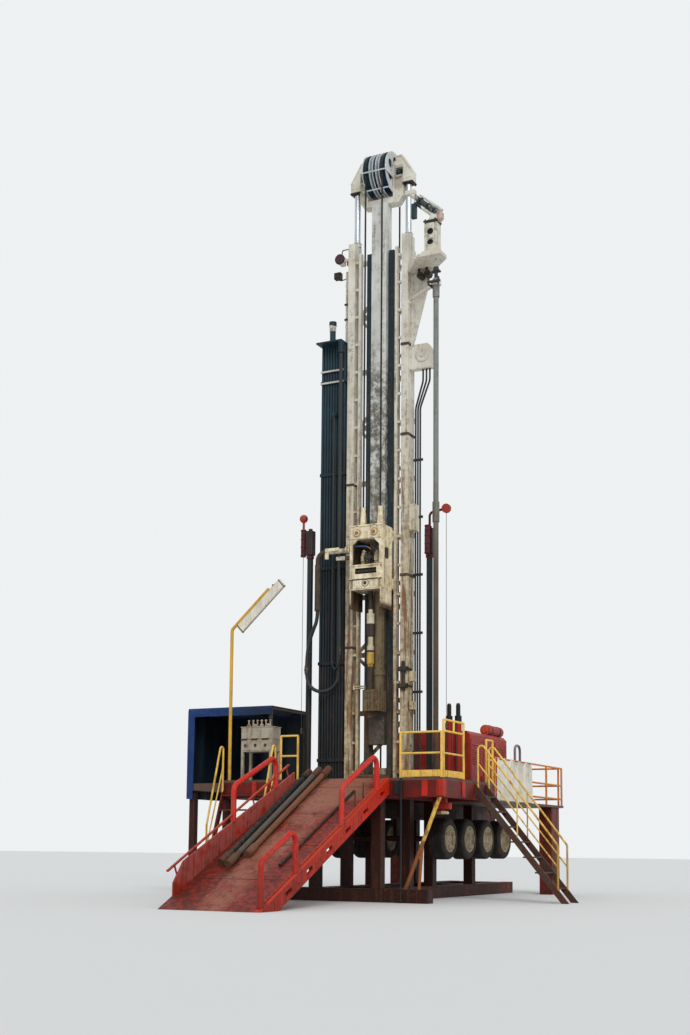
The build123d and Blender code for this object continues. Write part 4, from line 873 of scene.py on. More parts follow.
coat(weathered("rampSidePaint", {
    **redLook, "colour": (206, 40, 18), "faded": (184, 42, 22), "dirt": 0.45, "low": 0, "high": 2.5,
    "lowColour": (150, 32, 16), "chips": 0.8,
}, wallZones), "ramp_sides")
yellowLook = {
    "colour": (248, 204, 80), "faded": (242, 200, 104), "low": 1, "high": 5, "lowColour": (226, 178, 82),
    "lowShare": 0.5, "dirt": 0.4, "dirtColour": (120, 88, 44), "streaks": 0.4, "chips": 0.5,
    "rust": (128, 72, 36), "rustDark": (70, 42, 28), "rough": 0.45,
}
yellowPaint = weathered("yellowPaint", yellowLook)
coat(yellowPaint, "stair_rails", "floor_rails")
coat(weathered("polePaint", {**yellowLook, "colour": (222, 172, 52), "faded": (206, 160, 66)}, lambda f, x, y, z: [
    (((x + 3.17) * 0.6777 - (z - 6.48) * 0.7354).rise(0.043, 0.047) * x.rise(-3.10, -3.08), (212, 206, 190)),
]), "light_pole")
coat(weathered("propPaint", {**yellowLook, "dirt": 0.7}, lambda f, x, y, z: [
    (z.fall(1.35, 1.42), (150, 84, 44)),  # the lower leg and the upper strut's foot have rusted
]), "floor_props")
coat(weathered("orangePaint", {
    **yellowLook, "colour": (228, 130, 44), "faded": (218, 142, 66), "lowColour": (196, 104, 40),
}), "walkway_rails")
steelLook = {
    "colour": (58, 54, 48), "faded": (44, 42, 40), "low": 2, "high": 9, "lowColour": (46, 38, 30), "dirt": 0.6,
    "dirtColour": (84, 72, 52), "streaks": 0.5, "chips": 0.5, "rough": 0.5,
}
darkSteel = weathered("darkSteel", steelLook)
coat(darkSteel, "shelter_frame")
coat(weathered("handlerPaint", {
    **steelLook, "colour": (118, 102, 76), "faded": (98, 84, 62), "lowColour": (108, 98, 68), "dirt": 0.8,
    "spotScale": 14, "dirtColour": (62, 48, 34), "rust": (128, 72, 46), "rustDark": (72, 46, 34), "rustEdge": 0.58,
}), "pipe_handler")
rustySteel = weathered("rustySteel", {
    **steelLook, "colour": (104, 76, 54), "faded": (84, 62, 46), "lowColour": (86, 60, 42), "rustEdge": 0.54,
    "rust": (132, 78, 44), "rustDark": (66, 42, 30), "rough": 0.62,
})
coat(rustySteel, "rotary_table")
coat(weathered("quillSteel", {
    **steelLook, "colour": (66, 56, 48), "faded": (52, 46, 42),
}, lambda f, x, y, z: [  # a cream sub, a pale sleeve and a yellow lift between dark joints
    (z.within(6.60, 6.95), (206, 196, 170)), (z.within(5.95, 6.28), (196, 184, 156)),
    (z.within(5.55, 5.90), (198, 160, 70)),
]), "quill")


def layZones(f, x, y, z):  # three pipes of different age, their joints rustier
    joint = y.fall(-5.50, -5.40) + y.rise(-1.88, -1.82)
    across = x + (y + 5.8) * 0.061
    return [
        (across.fall(-0.64, -0.63), (34, 36, 38)), (across.within(-0.63, -0.43), (92, 86, 80)),
        (across.within(-0.43, -0.10), (122, 78, 56)), (joint.least(1) * 0.7, (92, 54, 38)),
        (x.rise(0.3, 0.4), (40, 36, 34)),
    ]


coat(weathered("layPipes", {**steelLook, "low": 0, "high": 3, "lowColour": (70, 56, 46)}, layZones), "ramp_pipes")
coat(weathered("standPipe", {
    **steelLook, "colour": (98, 86, 70), "faded": (82, 70, 56),
}, lambda f, x, y, z: [  # grey above, brown below, a dark plug on top
    (z.rise(7.5, 10.5), (128, 130, 126)), (z.rise(14.86, 14.87), (30, 52, 60)),
]), "standing_pipe")
greyPaint = weathered("greyPaint", {
    **creamLook, "colour": (190, 184, 168), "faded": (176, 166, 148), "low": 1, "high": 6,
    "lowColour": (164, 150, 128), "dirt": 0.4, "streaks": 0.4, "chips": 0.5,
})
coat(greyPaint, "control_cabinet")
coat(weathered("hoopPaint", {
    **steelLook, "colour": (148, 132, 136), "faded": (112, 100, 104), "low": 0, "high": 2,
}), "exhaust_hoops")
whitePaint = weathered("whitePaint", {
    **creamLook, "colour": (212, 208, 200), "faded": (188, 180, 166), "dirt": 0.5, "lowColour": (186, 172, 148),
})


def jibZones(f, x, y, z):  # the boom is dark, blotched grey; the hanging block dark too
    away = abs((x - 1.96) * 0.666 + (z - 16.48) * 0.746)
    boom = away.fall(0.075, 0.08) * x.within(1.27, 1.88) * z.rise(16.52, 16.54)
    blotch = f.noise(f.place(), 9, 5, 0.6).rise(0.5, 0.58)
    return [
        (boom, (58, 76, 84)), (boom * blotch, (150, 148, 138)),
        (x.fall(1.42, 1.44) * z.fall(16.95, 16.97), (30, 54, 62)),
        (x.rise(1.86, 1.88) * z.rise(16.34, 16.36), (206, 180, 164)),
        # painted shade inside the bores of the two holes through the stand
        (y.within(-0.785, -0.515) * x.within(1.63, 1.81) * z.within(15.70, 16.18), (30, 28, 28)),
    ]


coat(weathered("jibPaint", {**creamLook, "dirt": 0.7}, jibZones), "jib_arm")
coat(hoseRubber, "hose_run")
coat(weathered("cylinderPaint", redLook, lambda f, x, y, z: [
    (z.rise(4.30, 4.32), (26, 26, 26)),  # the cylinders' upper caps are black
]), "raising_cylinders")

rod = Finish("chromedRod")
rodAt = rod.place()
rodHaze = rod.noise(rodAt, 1, 4, 0.6, (30, 30, 1.5))
chromedRod = rod.surface({
    "Base Color": rod.mix(rodHaze.rise(0.4, 0.7), tone(206, 214, 220), tone(170, 172, 170)),
    "Metallic": 0.85, "Roughness": 0.16 + rodHaze * 0.25,
})
coat(chromedRod, "hoist_rods")


wheel = {"x": 1.35, "y": 0.85, "z": 1.45, "pitch": 1.25, "count": 4, "studs": 8, "studCircle": 0.205}


def tyreFinish():
    f = Finish("tyreRubber")
    at = f.place()
    y, z = f.axes(at)[1:]
    half = wheel["pitch"] / 2
    away = (y - wheel["y"] + half) % wheel["pitch"] - half
    radius = (away * away + (z - wheel["z"]) * (z - wheel["z"])) ** 0.5
    rim = radius.fall(0.318, 0.326)
    dust = f.noise(at, 7, 6, 0.65).rise(0.4, 0.65)
    spots = f.noise(at, 14, 7, 0.7)
    tread = ((radius * 40) % 1.0).rise(0.4, 0.6) * radius.rise(0.40, 0.41)
    rubberTone = f.mix(dust * 0.55, tone(22, 20, 19), tone(70, 52, 38))
    rimTone = f.mix(spots.rise(0.55, 0.62), tone(178, 166, 142), tone(98, 62, 40))
    colour = f.mix(rim, rubberTone, f.mix(dust * 0.5, rimTone, tone(110, 86, 62)))
    return f.surface({
        "Base Color": colour, "Roughness": 0.82 - rim * 0.3,
        "Normal": f.bump(tread * (1 - rim) + spots * 0.2, 0.4, 0.006),
    })


def deckFinish():  # red-brown plate, worn grey-pink down the middle with a painted sheen there too, scratched along the slope
    f = Finish("rampDeck")
    at = f.place()
    x, y = f.axes(at)[:2]
    patches = f.noise(at, 1.3, 5, 0.65)
    spots = f.noise(at, 8, 8, 0.7)
    scratches = f.noise(at, 1, 6, 0.7, (46, 0.9, 0.9))
    # wear and a painted sheen down the middle of the deck
    wornAndSheen = patches * 0.6 + abs(x).fall(0.2, 1.1) * 0.35 + y.fall(-2.6, -3.8) * y.rise(-7.2, -5.8) * 0.25
    colour = f.mix(spots.rise(0.4, 0.6), tone(142, 34, 18), tone(96, 26, 15))
    colour = f.mix(wornAndSheen.rise(0.52, 0.74) * 0.8, colour, tone(150, 98, 76))
    colour = f.mix(scratches.rise(0.57, 0.64) * 0.5 * wornAndSheen.rise(0.4, 0.6), colour, tone(196, 150, 126))
    colour = f.mix((spots * 0.5 + scratches * 0.5).rise(0.53, 0.60) * 0.8, colour, tone(58, 28, 18))
    colour = f.mix(x.fall(-0.45, -0.30) * spots.rise(0.35, 0.55) * 0.6, colour, tone(66, 30, 20))
    colour = f.mix(x.rise(1.03, 1.04) * 0.85, colour, tone(196, 54, 26))
    return f.surface({
        "Base Color": colour, "Roughness": 0.42 + spots * 0.35 - wornAndSheen * 0.1, "Specular IOR Level": 0.35,
        "Normal": f.bump(spots * 0.4 + scratches * 0.4, 0.35, 0.005),
    })


coat(deckFinish(), "ramp_deck")
coat(weathered("floorPlate", {
    **steelLook, "colour": (84, 60, 50), "faded": (96, 74, 62), "low": 0, "high": 3, "lowColour": (84, 62, 50),
}), "floor_plates")
print("finishes done:", len(bpy.data.materials))


# ---- crown: drums, flanged side plates, keeper bars and the fittings of the frame
crownWheel = {
    "centre": (0, 0.14, 18.27),
    "drums": ((-0.23, 0.082, 3), (0.23, 0.082, 3), (0, 0.031, 1)),  # middle, half width, grooves
    "bed": 0.506, "rim": 0.552, "side": 0.338, "inner": 0.122, "holes": 6, "hole": 0.115, "holeCircle": 0.32,
}


def lathe(profile, centre, steps=64):  # an outline (x, radius) turned about an X axis through centre
    only()
    bpy.ops.mesh.primitive_circle_add(vertices=len(profile))
    o = bpy.context.object
    for v, (x, radius) in zip(o.data.vertices, profile):
        v.co = (x, centre[1], centre[2] + radius)
    editAll()
    bpy.ops.mesh.spin(steps=steps, angle=2 * math.pi, center=centre, axis=(1, 0, 0))
    bpy.ops.mesh.select_all(action="SELECT")
    bpy.ops.mesh.remove_doubles(threshold=0.0002)
    bpy.ops.mesh.normals_make_consistent(inside=False)
    leaveEdit()
    return o


def disc(centre, low, high, inner, outer, steps=64):
    return lathe([(low, inner), (high, inner), (high, outer), (low, outer)], centre, steps)


def cut(o, tools):  # take the tools' shapes out of o
    tool = joined("tool", tools, 0)
    only(o)
    hole = o.modifiers.new("cut", "BOOLEAN")
    hole.object = tool
    hole.operation = "DIFFERENCE"
    hole.solver = "EXACT"
    bpy.ops.object.modifier_apply(modifier="cut")
    bpy.data.objects.remove(tool)
    return o


def crownDrums():
    centre, bed = crownWheel["centre"], crownWheel["bed"]
    parts = []
    for middle, half, grooves in crownWheel["drums"]:
        width = 2 * half / grooves
        outline = [(middle - half, 0.12)]
        for k in range(grooves):
            left = middle - half + k * width
            outline += [(left + 0.002, bed + 0.02), (left + width * 0.25, bed), (left + width * 0.75, bed)]
        outline += [(middle + half - 0.002, bed + 0.02), (middle + half, 0.12)]
        parts.append(lathe(outline, centre))
    parts.append(disc(centre, -0.52, 0.52, 0.079, 0.02, 32))  # the axle and its nuts
    parts += [drum((side * 0.425, *centre[1:]), (side * 0.475, *centre[1:]), 0.094, 6, 0.006) for side in (-1, 1)]
    return parts


def crownPlates():
    wheelSide = crownWheel["side"]
    centre, rim, inner = crownWheel["centre"], crownWheel["rim"], crownWheel["inner"]
    parts = [disc(centre, x, x + 0.022, 0.15, rim) for x in (-0.055, 0.033)]
    for side in (-1, 1):
        low, high = sorted((side * wheelSide, side * (wheelSide - 0.024)))
        holes = bolts("X", centre[1:], crownWheel["holeCircle"], crownWheel["holes"], low - 0.05, high + 0.05,
                      crownWheel["hole"], 24, 0, turned=0.5)
        parts.append(cut(disc(centre, low, high, 0.10, rim), holes))
        near, far = side * wheelSide, side * (wheelSide + 0.01)
        parts.append(lathe([(near, 0.10), (far, 0.10), (far, 0.17), (near, 0.18)], centre, 40))
        parts.append(disc(centre, *sorted((side * inner, side * (inner + 0.022))), 0.15, rim))
    return parts


def crownKeepers():  # bars that keep the ropes in their grooves
    parts = []
    for y, z in ((-0.45, 18.15), (-0.245, 17.76)):
        parts.append(drum((-0.375, y, z), (0.375, y, z), 0.017, 12, 0.003))
        outline = [(y - 0.03, z + 0.03), (y - 0.03, z - 0.03), (0, z - 0.06), (0.03, z), (0, z + 0.06)]
        for low, high in ((-0.366, -0.352), (0.352, 0.366)):
            parts.append(drawn(outline, low, high, "X", 0.002))
    return parts


def padPlates():  # plates, bolts and seals under the rods' pads
    parts = []
    for side in (-1, 1):
        x = side * 0.735
        parts += kit(
            blocks=[((x - 0.145, 0.02, 17.915), (x + 0.145, 0.30, 17.949), 0.005)],
            bars=[((x + dx, y, 17.885), (x + dx, y, 17.915), 0.017, 6, 0.002)
                  for y in (0.045, 0.275) for dx in (-0.115, 0.115)],
            rings=[((side * 0.72, 0.15, 17.90), (0, 0, 1), 0.088, 0.016, 28, 8)],
        )
    return parts


crownRib = {
    "wing": [(0.405, 18.70), (0.575, 18.70), (0.872, 18.205), (0.872, 18.165), (0.56, 18.66), (0.405, 18.66)],
    "lip": [(0.41, 18.155), (0.60, 18.155), (0.56, 18.10), (0.43, 18.10)],
    "bolts": [  # x, z, radius, eased edge
        (0.50, 17.62, 0.024, 0.003), (0.50, 17.80, 0.024, 0.003), (0.62, 18.06, 0.016, 0.002),
        (0.71, 18.06, 0.016, 0.002), (0.80, 18.06, 0.016, 0.002),
    ],
}


def crownRibs():
    parts = []
    for side in (-1, 1):
        wing, lip = ([(side * a, b) for a, b in crownRib[key]] for key in ("wing", "lip"))
        parts += [drawn(wing, y, y + 0.018) for y in (0.035, 0.262)]
        parts.append(drawn(lip, 0, 0.05, edge=0.006))
        for x, z, radius, edge in crownRib["bolts"]:
            parts.append(drum((side * x, 0.035, z), (side * x, 0.052, z), radius, 6, edge))
    return parts


piece("crownDrums", "sheaves", weathered("drumPaint", {
    "low": 3, "high": 14, "colour": (20, 46, 60), "faded": (30, 62, 76), "dirt": 0.4, "dirtColour": (18, 22, 26),
    "streaks": 0.15, "chips": 0.2, "rough": 0.4,
}), crownDrums(), ["crown_sheaves"])
flangePaint = weathered("flangePaint", {
    "colour": (214, 216, 214), "faded": (190, 196, 196), "dirt": 0.6, "dirtColour": (96, 100, 102), "streaks": 0.3,
    "chips": 0.4, "runBy": (9, 9, 9),
})
piece("crownPlates", "sheaves", flangePaint, crownPlates())
piece("crownKeepers", "crown", flangePaint, crownKeepers())
piece("crownPadPlates", "crown", darkSteel, padPlates())
piece("crownRibs", "crown", crownPaint, crownRibs())
print("crown done")


# ---- carriage: bosses, rope sockets, motors, what shows in the window, the ledge and the lower block
carriage = {
    "sockets": (-0.23, 0.23),  # x of the rope sockets and the bosses
    "bands": ((8.955, 8.99, 0.435), (8.655, 8.69, 0.43), (7.985, 8.012, 0.43), (7.66, 7.69, 0.435)),
    "spout": [(-0.04, 7.49), (0.04, 7.49), (0, 7.435)],  # under the lower block's eye
    "bracket": [(-1.19, 8.26), (-1.09, 8.26), (-1.09, 8.45), (-0.80, 8.45), (-0.80, 8.53), (-1.19, 8.53)],
    "pipe": (-0.5, 8.45), "flanges": (-0.635, -0.56),  # the mud pipe's y and z, and its flanges' x
    "opening": [(-0.50, 8.18), (-0.36, 8.18), (-0.33, 8.21), (-0.33, 8.42), (-0.36, 8.45), (-0.50, 8.45),
                (-0.53, 8.42), (-0.53, 8.21)],
    "motors": (-0.18, 0.18),
    "hose": [(-0.405, -0.60, 8.50), (-0.20, -0.66, 8.49), (0.02, -0.64, 8.47), (0.09, -0.60, 8.40)],
}


def carriageTrim():
    parts = []
    for x in carriage["sockets"]:
        parts += kit(bars=[
            ((x, -0.39, 8.99), (x, -0.39, 9.05), 0.095, 20, 0.008),
            ((x, -0.39, 9.05), (x, -0.39, 9.46), 0.082, 20, 0.004, 0.052),
            ((x, -0.39, 9.44), (x, -0.39, 9.50), 0.058, 16, 0.006),
            ((x, -0.71, 8.80), (x, -0.76, 8.80), 0.072, 24, 0.010),  # clevis boss on the front
            ((x, -0.75, 8.80), (x, -0.79, 8.80), 0.040, 6, 0.004),
        ])
        neck = [(x - 0.055, 8.84), (x + 0.055, 8.84), (x + 0.035, 8.985), (x - 0.035, 8.985)]
        parts.append(drawn(neck, -0.745, -0.715, edge=0.006))
    for side in (-1, 1):  # frames down the front edges and the sides, and bolts beside the lower block
        front, wall, bolt = side * 0.375, side * 0.43, side * 0.372
        parts += kit([
            ((front - 0.03, -0.74, 7.69), (front + 0.03, -0.715, 7.985), 0.004),
            ((wall - 0.012, -0.70, 7.42), (wall + 0.012, -0.62, 8.98), 0.003),
            ((wall - 0.012, -0.22, 7.42), (wall + 0.012, -0.14, 8.98), 0.003),
        ], [
            ((bolt, -0.735, 7.44 + 0.055 * k), (bolt, -0.755, 7.44 + 0.055 * k), 0.017, 6, 0.002) for k in range(5)
        ])
    parts += [slab((-reach, -0.745, low), (reach, -0.715, high), 0.005) for low, high, reach in carriage["bands"]]
    parts += [
        slab((-0.33, -0.735, 7.43), (0.33, -0.715, 7.65), 0.006),
        ring((0, -0.737, 7.555), (0, 1, 0), 0.055, 0.016, 28, 8),
        drawn(carriage["spout"], -0.745, -0.73, edge=0.003),
        drawn(carriage["bracket"], -0.582, -0.552, edge=0.006),
    ]
    y, z = carriage["pipe"]
    for x in carriage["flanges"]:
        parts.append(drum((x, y, z), (x + 0.04, y, z), 0.095, 20, 0.006))
        parts += bolts("X", (y, z), 0.078, 8, x - 0.010, x + 0.050, 0.010, edge=0.001)
    return parts


def carriageDark():  # what is dark in the front: ledge, slot, eye, pins, openings and small hoses
    # painted shade: the dark block in the slot, the dark disc in the eye and the dark plates on the side openings stand
    # for the shade in them
    parts = kit([
        ((-0.43, -0.752, 7.64), (0.43, -0.722, 7.662), 0.003),
        ((-0.24, -0.705, 7.825), (0.24, -0.665, 7.895), 0.018),
        ((-0.10, -0.64, 8.16), (0.10, -0.56, 8.26), 0.01),
    ], [
        ((0, -0.76, 7.555), (0, -0.73, 7.555), 0.028, 16, 0.004),
        *[((x, -0.712, 7.86), (x, -0.66, 7.86), 0.030, 16, 0.004) for x in (-0.26, 0.26)],
        *[((x, -0.62, 8.05), (x, -0.62, 8.34), 0.020, 10, 0.003) for x in (-0.05, 0.05)],
    ])
    for low, high in ((0.4205, 0.432), (-0.432, -0.4205)):
        parts.append(drawn(carriage["opening"], low, high, "X", 0.004))
    for k in range(4):
        x = 0.08 + 0.06 * k
        parts.append(tube("windowHose", [(x, -0.60, 8.60), (x + 0.03, -0.64, 8.48), (x + 0.12, -0.60, 8.36)], 0.022))
    return parts


def motor(x):  # a domed cap, ribs, a terminal box and a square bolted flange
    return kit([
        ((x - 0.10, -0.52, 8.012), (x + 0.10, -0.32, 8.06), 0.008),
        ((x - 0.045, -0.535, 8.13), (x + 0.045, -0.49, 8.25), 0.012),
    ], [
        ((x, -0.42, 8.05), (x, -0.42, 8.30), 0.086, 24, 0.006),
        ((x, -0.42, 8.30), (x, -0.42, 8.36), 0.078, 24, 0.012),
        ((x, -0.42, 8.36), (x, -0.42, 8.42), 0.058, 24, 0.014, 0.045),
        *[((x + dx, -0.42 + dy, 8.055), (x + dx, -0.42 + dy, 8.085), 0.014, 6, 0.002)
          for dx in (-0.08, 0.08) for dy in (-0.08, 0.08)],
    ], [((x, -0.42, 8.09 + 0.055 * k), (0, 0, 1), 0.087, 0.006, 28, 6) for k in range(4)])


motors = [part for x in carriage["motors"] for part in motor(x)]
piece("carriageTrim", "carriage", carriagePaint, carriageTrim())
piece("carriageDark", "carriage", darkSteel, carriageDark())
piece("carriageMotors", "carriage", motorPaint, motors, ["top_drive_motors"])
fit(tube("carriageHose", carriage["hose"], 0.04), "carriage", weathered("blueHose", {
    "colour": (52, 92, 132), "faded": (40, 70, 104), "dirt": 0.3, "streaks": 0, "chips": 0,
}, lambda f, x, y, z: [(x.rise(0.0, 0.01), (150, 96, 66))]))
print("carriage done")


# ---- mast: collars, covers, lamp and clamps on the posts
mast = {
    "left": ((-0.854, -0.134), (-0.636, 0.274), 0.03, (10.2, 6.1)),  # a collar's corners, half height and places
    "right": ((0.636, -0.134), (0.854, 0.274), 0.035, (13.63, 11.33, 7.81)),
    "rods": (0.72, 0.15),
    "clampArms": (5.50, 5.09),
    "cover": (1.20, 13.29),  # x and z of the round cover on the hose guide box
    "rollers": ((1.18, 15.30), (1.38, 15.31)),
    "lamp": (-1.06, 16.13),
}


def mastCollars():
    parts = []
    for low, high, half, places in (mast["right"], mast["left"]):
        parts += [slab((*low, z - half), (*high, z + half), 0.006) for z in places]
    parts += [drum((0.745, -0.134, z), (0.745, -0.165, z), 0.030, 12, 0.004) for z in mast["right"][3]]
    x, y = mast["rods"]
    for side in (-1, 1):
        parts += bolts("Z", (side * x, y), 0.104, 8, 16.575, 16.60, 0.013, turned=0.5)
        parts.append(ring((side * x, y, 16.585), (0, 0, 1), 0.088, 0.010, 28, 6))
    return parts


def postClamp():  # a clamp like a double cross, low on the right post
    parts = [slab((0.712, -0.185, 4.98), (0.79, -0.121, 5.69), 0.01)]
    for z in mast["clampArms"]:
        parts += kit([
            ((0.62, -0.205, z - 0.055), (0.88, -0.121, z + 0.055), 0.01),
            ((0.845, -0.20, z - 0.03), (0.88, 0.10, z + 0.03), 0.006),
        ], [((x, -0.20, z), (x, -0.225, z), 0.020, 6, 0.003) for x in (0.65, 0.85)])
    return parts


def mastFittings():
    x, z = mast["cover"]
    return kit([
        ((-0.58, -0.155, 5.059), (-0.25, -0.121, 5.091), 0.008),  # a pale bracket across the left rail
        ((-0.58, -0.155, 5.109), (-0.25, -0.121, 5.141), 0.008),
        ((-0.60, -0.16, 5.04), (-0.55, -0.121, 5.16), 0.008),
        ((0.86, -0.066, 12.962), (1.44, -0.058, 12.992), 0.002),
        ((0.855, -0.107, 8.915), (1.002, -0.089, 9.545), 0.008),  # junction box door
        ((0.985, -0.118, 9.16), (1.000, -0.105, 9.30), 0.003),
        ((0.845, -0.05, 5.20), (0.985, 0.09, 5.45), 0.008),  # small boxes low on the post
        ((0.845, -0.05, 4.52), (0.975, 0.09, 4.72), 0.008),
        ((-0.82, -0.135, 13.66), (-0.67, -0.118, 13.82), 0.004),
    ], [
        ((x, -0.058, z), (x, -0.085, z), 0.175, 36, 0.006),
        ((x, -0.08, z), (x, -0.11, z), 0.055, 20, 0.006),
        ((0.857, -0.104, 9.02), (0.857, -0.104, 9.08), 0.010, 8, 0.002),
        ((0.857, -0.104, 9.39), (0.857, -0.104, 9.45), 0.010, 8, 0.002),
        ((-0.745, -0.12, 13.74), (-0.745, -0.17, 13.74), 0.045, 20, 0.008),
    ], [((x, -0.085, z), (0, 1, 0), 0.150, 0.010, 36, 6)]) + bolts("Y", (x, z), 0.115, 8, -0.084, -0.097, 0.013)


def gussetRollers():
    parts = []
    for x, z in mast["rollers"]:
        parts += kit([((x - 0.035, -0.235, z - 0.02), (x + 0.035, -0.215, 15.45), 0.004)], [
            ((x, -0.20, z), (x, -0.02, z), 0.085, 24, 0.008),
            ((x, -0.23, z), (x, 0.02, z), 0.030, 12, 0.004),
        ])
    return parts


def mastLamps():
    x, z = mast["lamp"]
    return kit([
        ((-1.36, 0.08, 15.74), (-1.17, 0.22, 15.92), 0.012),  # floodlight on the pipe pair
        ((-1.33, 0.064, 15.765), (-1.20, 0.082, 15.895), 0.006),
        ((-1.06, 0.10, 15.0), (-0.85, 0.19, 15.045), 0.004),
        ((-1.06, 0.10, 14.6), (-0.85, 0.19, 14.645), 0.004),
    ], [((x, -0.15, z), (x, -0.19, z), 0.135, 32, 0.010)], [((x, -0.19, z), (0, 1, 0), 0.122, 0.012, 32, 8)]) + [
        bentBar([(-0.845, -0.03, 16.42), (x, -0.03, 16.42), (x, -0.06, 16.24)], 0.014, 2),
        bentBar([(-1.02, 0.15, 15.72), (-1.20, 0.15, 15.70), (-1.26, 0.15, 15.76)], 0.014, 2),
    ]


piece("mastCollars", "root", weathered("collarPaint", {
    **steelLook, "colour": (74, 58, 46), "faded": (92, 74, 56),
}), mastCollars())
piece("postClamp", "root", weathered("clampPaint", {
    **steelLook, "colour": (34, 40, 40), "faded": (44, 50, 50),
}), postClamp())
piece("mastFittingTrim", "root", creamPaint, mastFittings())
piece("gussetRollers", "root", darkSteel, gussetRollers())
piece("mastLamps", "root", darkSteel, mastLamps())
lens = drum((-1.06, -0.185, 16.13), (-1.06, -0.20, 16.13), 0.108, 32, 0.004)
piece("mastLampLens", "root", weathered("lampGlass", {
    "colour": (66, 40, 52), "faded": (96, 66, 74), "dirt": 0.4, "streaks": 0, "chips": 0, "rough": 0.2,
}), [lens], smooth=0)
redBox = slab((-0.905, -0.09, 15.97), (-0.846, 0.02, 16.07), 0.008)
piece("mastRedBox", "root", redPaint, [redBox], smooth=0)
piece("bankTrim", "root", whitePaint, kit([  # fittings and clamp bars on the hose bank
    ((-1.60, -0.145, 13.2), (-0.95, -0.118, 13.245), 0.004),
    ((-1.60, -0.145, 12.9), (-0.95, -0.118, 12.945), 0.004),
], [
    ((-1.33, 0, 14.30), (-1.33, 0, 14.50), 0.085, 20, 0.012),
    ((-1.33, 0, 14.40), (-1.33, -0.12, 14.40), 0.05, 16, 0.006),
]))


# ---- jib: bands, bolts and clamps; the plug clamp of the standing pipe
jib = {
    "foot": Vector((1.96, -0.65, 16.48)), "head": Vector((1.12, -0.65, 17.23)), "bands": (0.22, 0.42, 0.66),
    "rodFoot": Vector((1.99, -0.68, 16.595)), "rodHead": Vector((1.40, -0.68, 17.122)),
    "pipe": (1.86, -0.75),  # x and y of the standing pipe
}


def jibTrim():
    parts = kit([
        ((1.60, -0.80, 16.30), (1.88, -0.50, 16.36), 0.006),
        ((1.54, -0.81, 16.335), (1.90, -0.49, 16.375), 0.006),
    ], [
        *[((x, -0.795, 16.37), (x, -0.795, 16.40), 0.018, 6, 0.002) for x in (1.59, 1.85)],
        *[((x, -0.79, z), (x, -0.806, z), 0.016, 6, 0.002) for z in (15.56, 16.30) for x in (1.60, 1.84)],
    ])
    along = (jib["head"] - jib["foot"]).normalized() * 0.028
    for share in jib["bands"]:
        middle = jib["foot"].lerp(jib["head"], share)
        parts.append(drum(middle - along, middle + along, 0.083, 20, 0.006))
        parts.append(slab(middle + Vector((-0.03, -0.12, -0.03)), middle + Vector((0.03, -0.06, 0.03)), 0.004))
    return parts


def jibRims():
    foot, head = jib["rodFoot"], jib["rodHead"]
    return kit(
        bars=[(foot, head, 0.026, 14, 0.004), (foot, foot.lerp(head, 0.55), 0.040, 14, 0.006)],
        rings=[((1.72, -0.792, z), (0, 1, 0), 0.088, 0.008, 28, 6) for z in (15.80, 16.08)],
    )


def pipeClamp():
    x, y = jib["pipe"]
    return kit([
        ((x - 0.17, y - 0.17, 14.72), (x + 0.17, y - 0.12, 14.78), 0.008),
        ((x - 0.14, y - 0.15, 14.66), (x - 0.09, y + 0.12, 14.70), 0.006),
        ((x - 0.115, y - 0.05, 15.02), (x + 0.115, y + 0.05, 15.07), 0.012),
    ], [
        *[((x + dx, y - 0.16, 14.66), (x + dx, y - 0.16, 14.84), 0.024, 12, 0.004) for dx in (-0.13, 0.13)],
        ((x, y, 15.05), (x, y, 15.13), 0.072, 20, 0.012),
    ])


piece("jibTrim", "root", darkSteel, jibTrim())
piece("jibRims", "root", whitePaint, jibRims())
piece("pipeClamp", "root", darkSteel, pipeClamp())


# ---- davits: bands and clamps on the winches, and their drive boxes on the posts
davits = {
    "davit_left": {"name": "davitLeftBands", "winch": (-2.0, -0.2), "low": 8.46, "post": (-1.8, -0.2)},
    "davit_right": {"name": "davitRightBands", "winch": (1.57, -0.58), "low": 8.16, "post": (1.57, -0.45)},
}
winch = {"radius": 0.066, "height": 0.70, "bands": (0.04, 0.36, 0.64, 0.96), "clamps": (0.2, 0.8)}
davitDark = weathered("davitDark", {**steelLook, "colour": (52, 34, 40), "faded": (42, 34, 38)})
for body, davit in davits.items():
    (x, y), (px, py) = davit["winch"], davit["post"]
    low, height, radius = davit["low"], winch["height"], winch["radius"]
    piece(davit["name"], body, davitDark, kit([
        *[((x - 0.03, y - radius - 0.02, low + height * share - 0.03),
           (x + 0.03, y - radius + 0.01, low + height * share + 0.03), 0.006) for share in winch["clamps"]],
        ((px - 0.10, py - 0.09, low + 0.02), (px + 0.10, py + 0.09, low + height * 0.92), 0.012),
    ], rings=[((x, y, low + height * share), (0, 0, 1), radius, 0.012, 24, 8) for share in winch["bands"]]))
print("mast trim done")


# ---- ramp: edge strips, stiffeners, plates, short posts, seams and bolts
ramp = {
    "foot": -7.5, "top": -1.75, "rise": 2.8,
    "strips": ((1.06, -7.30, -1.80, 0.012, 0.024), (-1.13, -6.98, -2.12, 0.535, 0.035)),  # x, ends, height, thickness
    "plates": ((-4.0, 0.10), (-2.3, 0.10), (-7.28, 0.09), (-5.95, 0.09)),  # middle and half length
    "stiffeners": 7, "bolts": 6,
    "posts": (-3.15, -2.75), "seams": (-6.3, -4.9, -3.5, -2.2),
}
rampTilt = math.atan2(ramp["rise"], ramp["top"] - ramp["foot"])


def onRamp(x, y, up=0.0):  # a point above the deck, square to its slope
    z = (y - ramp["foot"]) * math.tan(rampTilt)
    return Vector((x, y - up * math.sin(rampTilt), z + up * math.cos(rampTilt)))


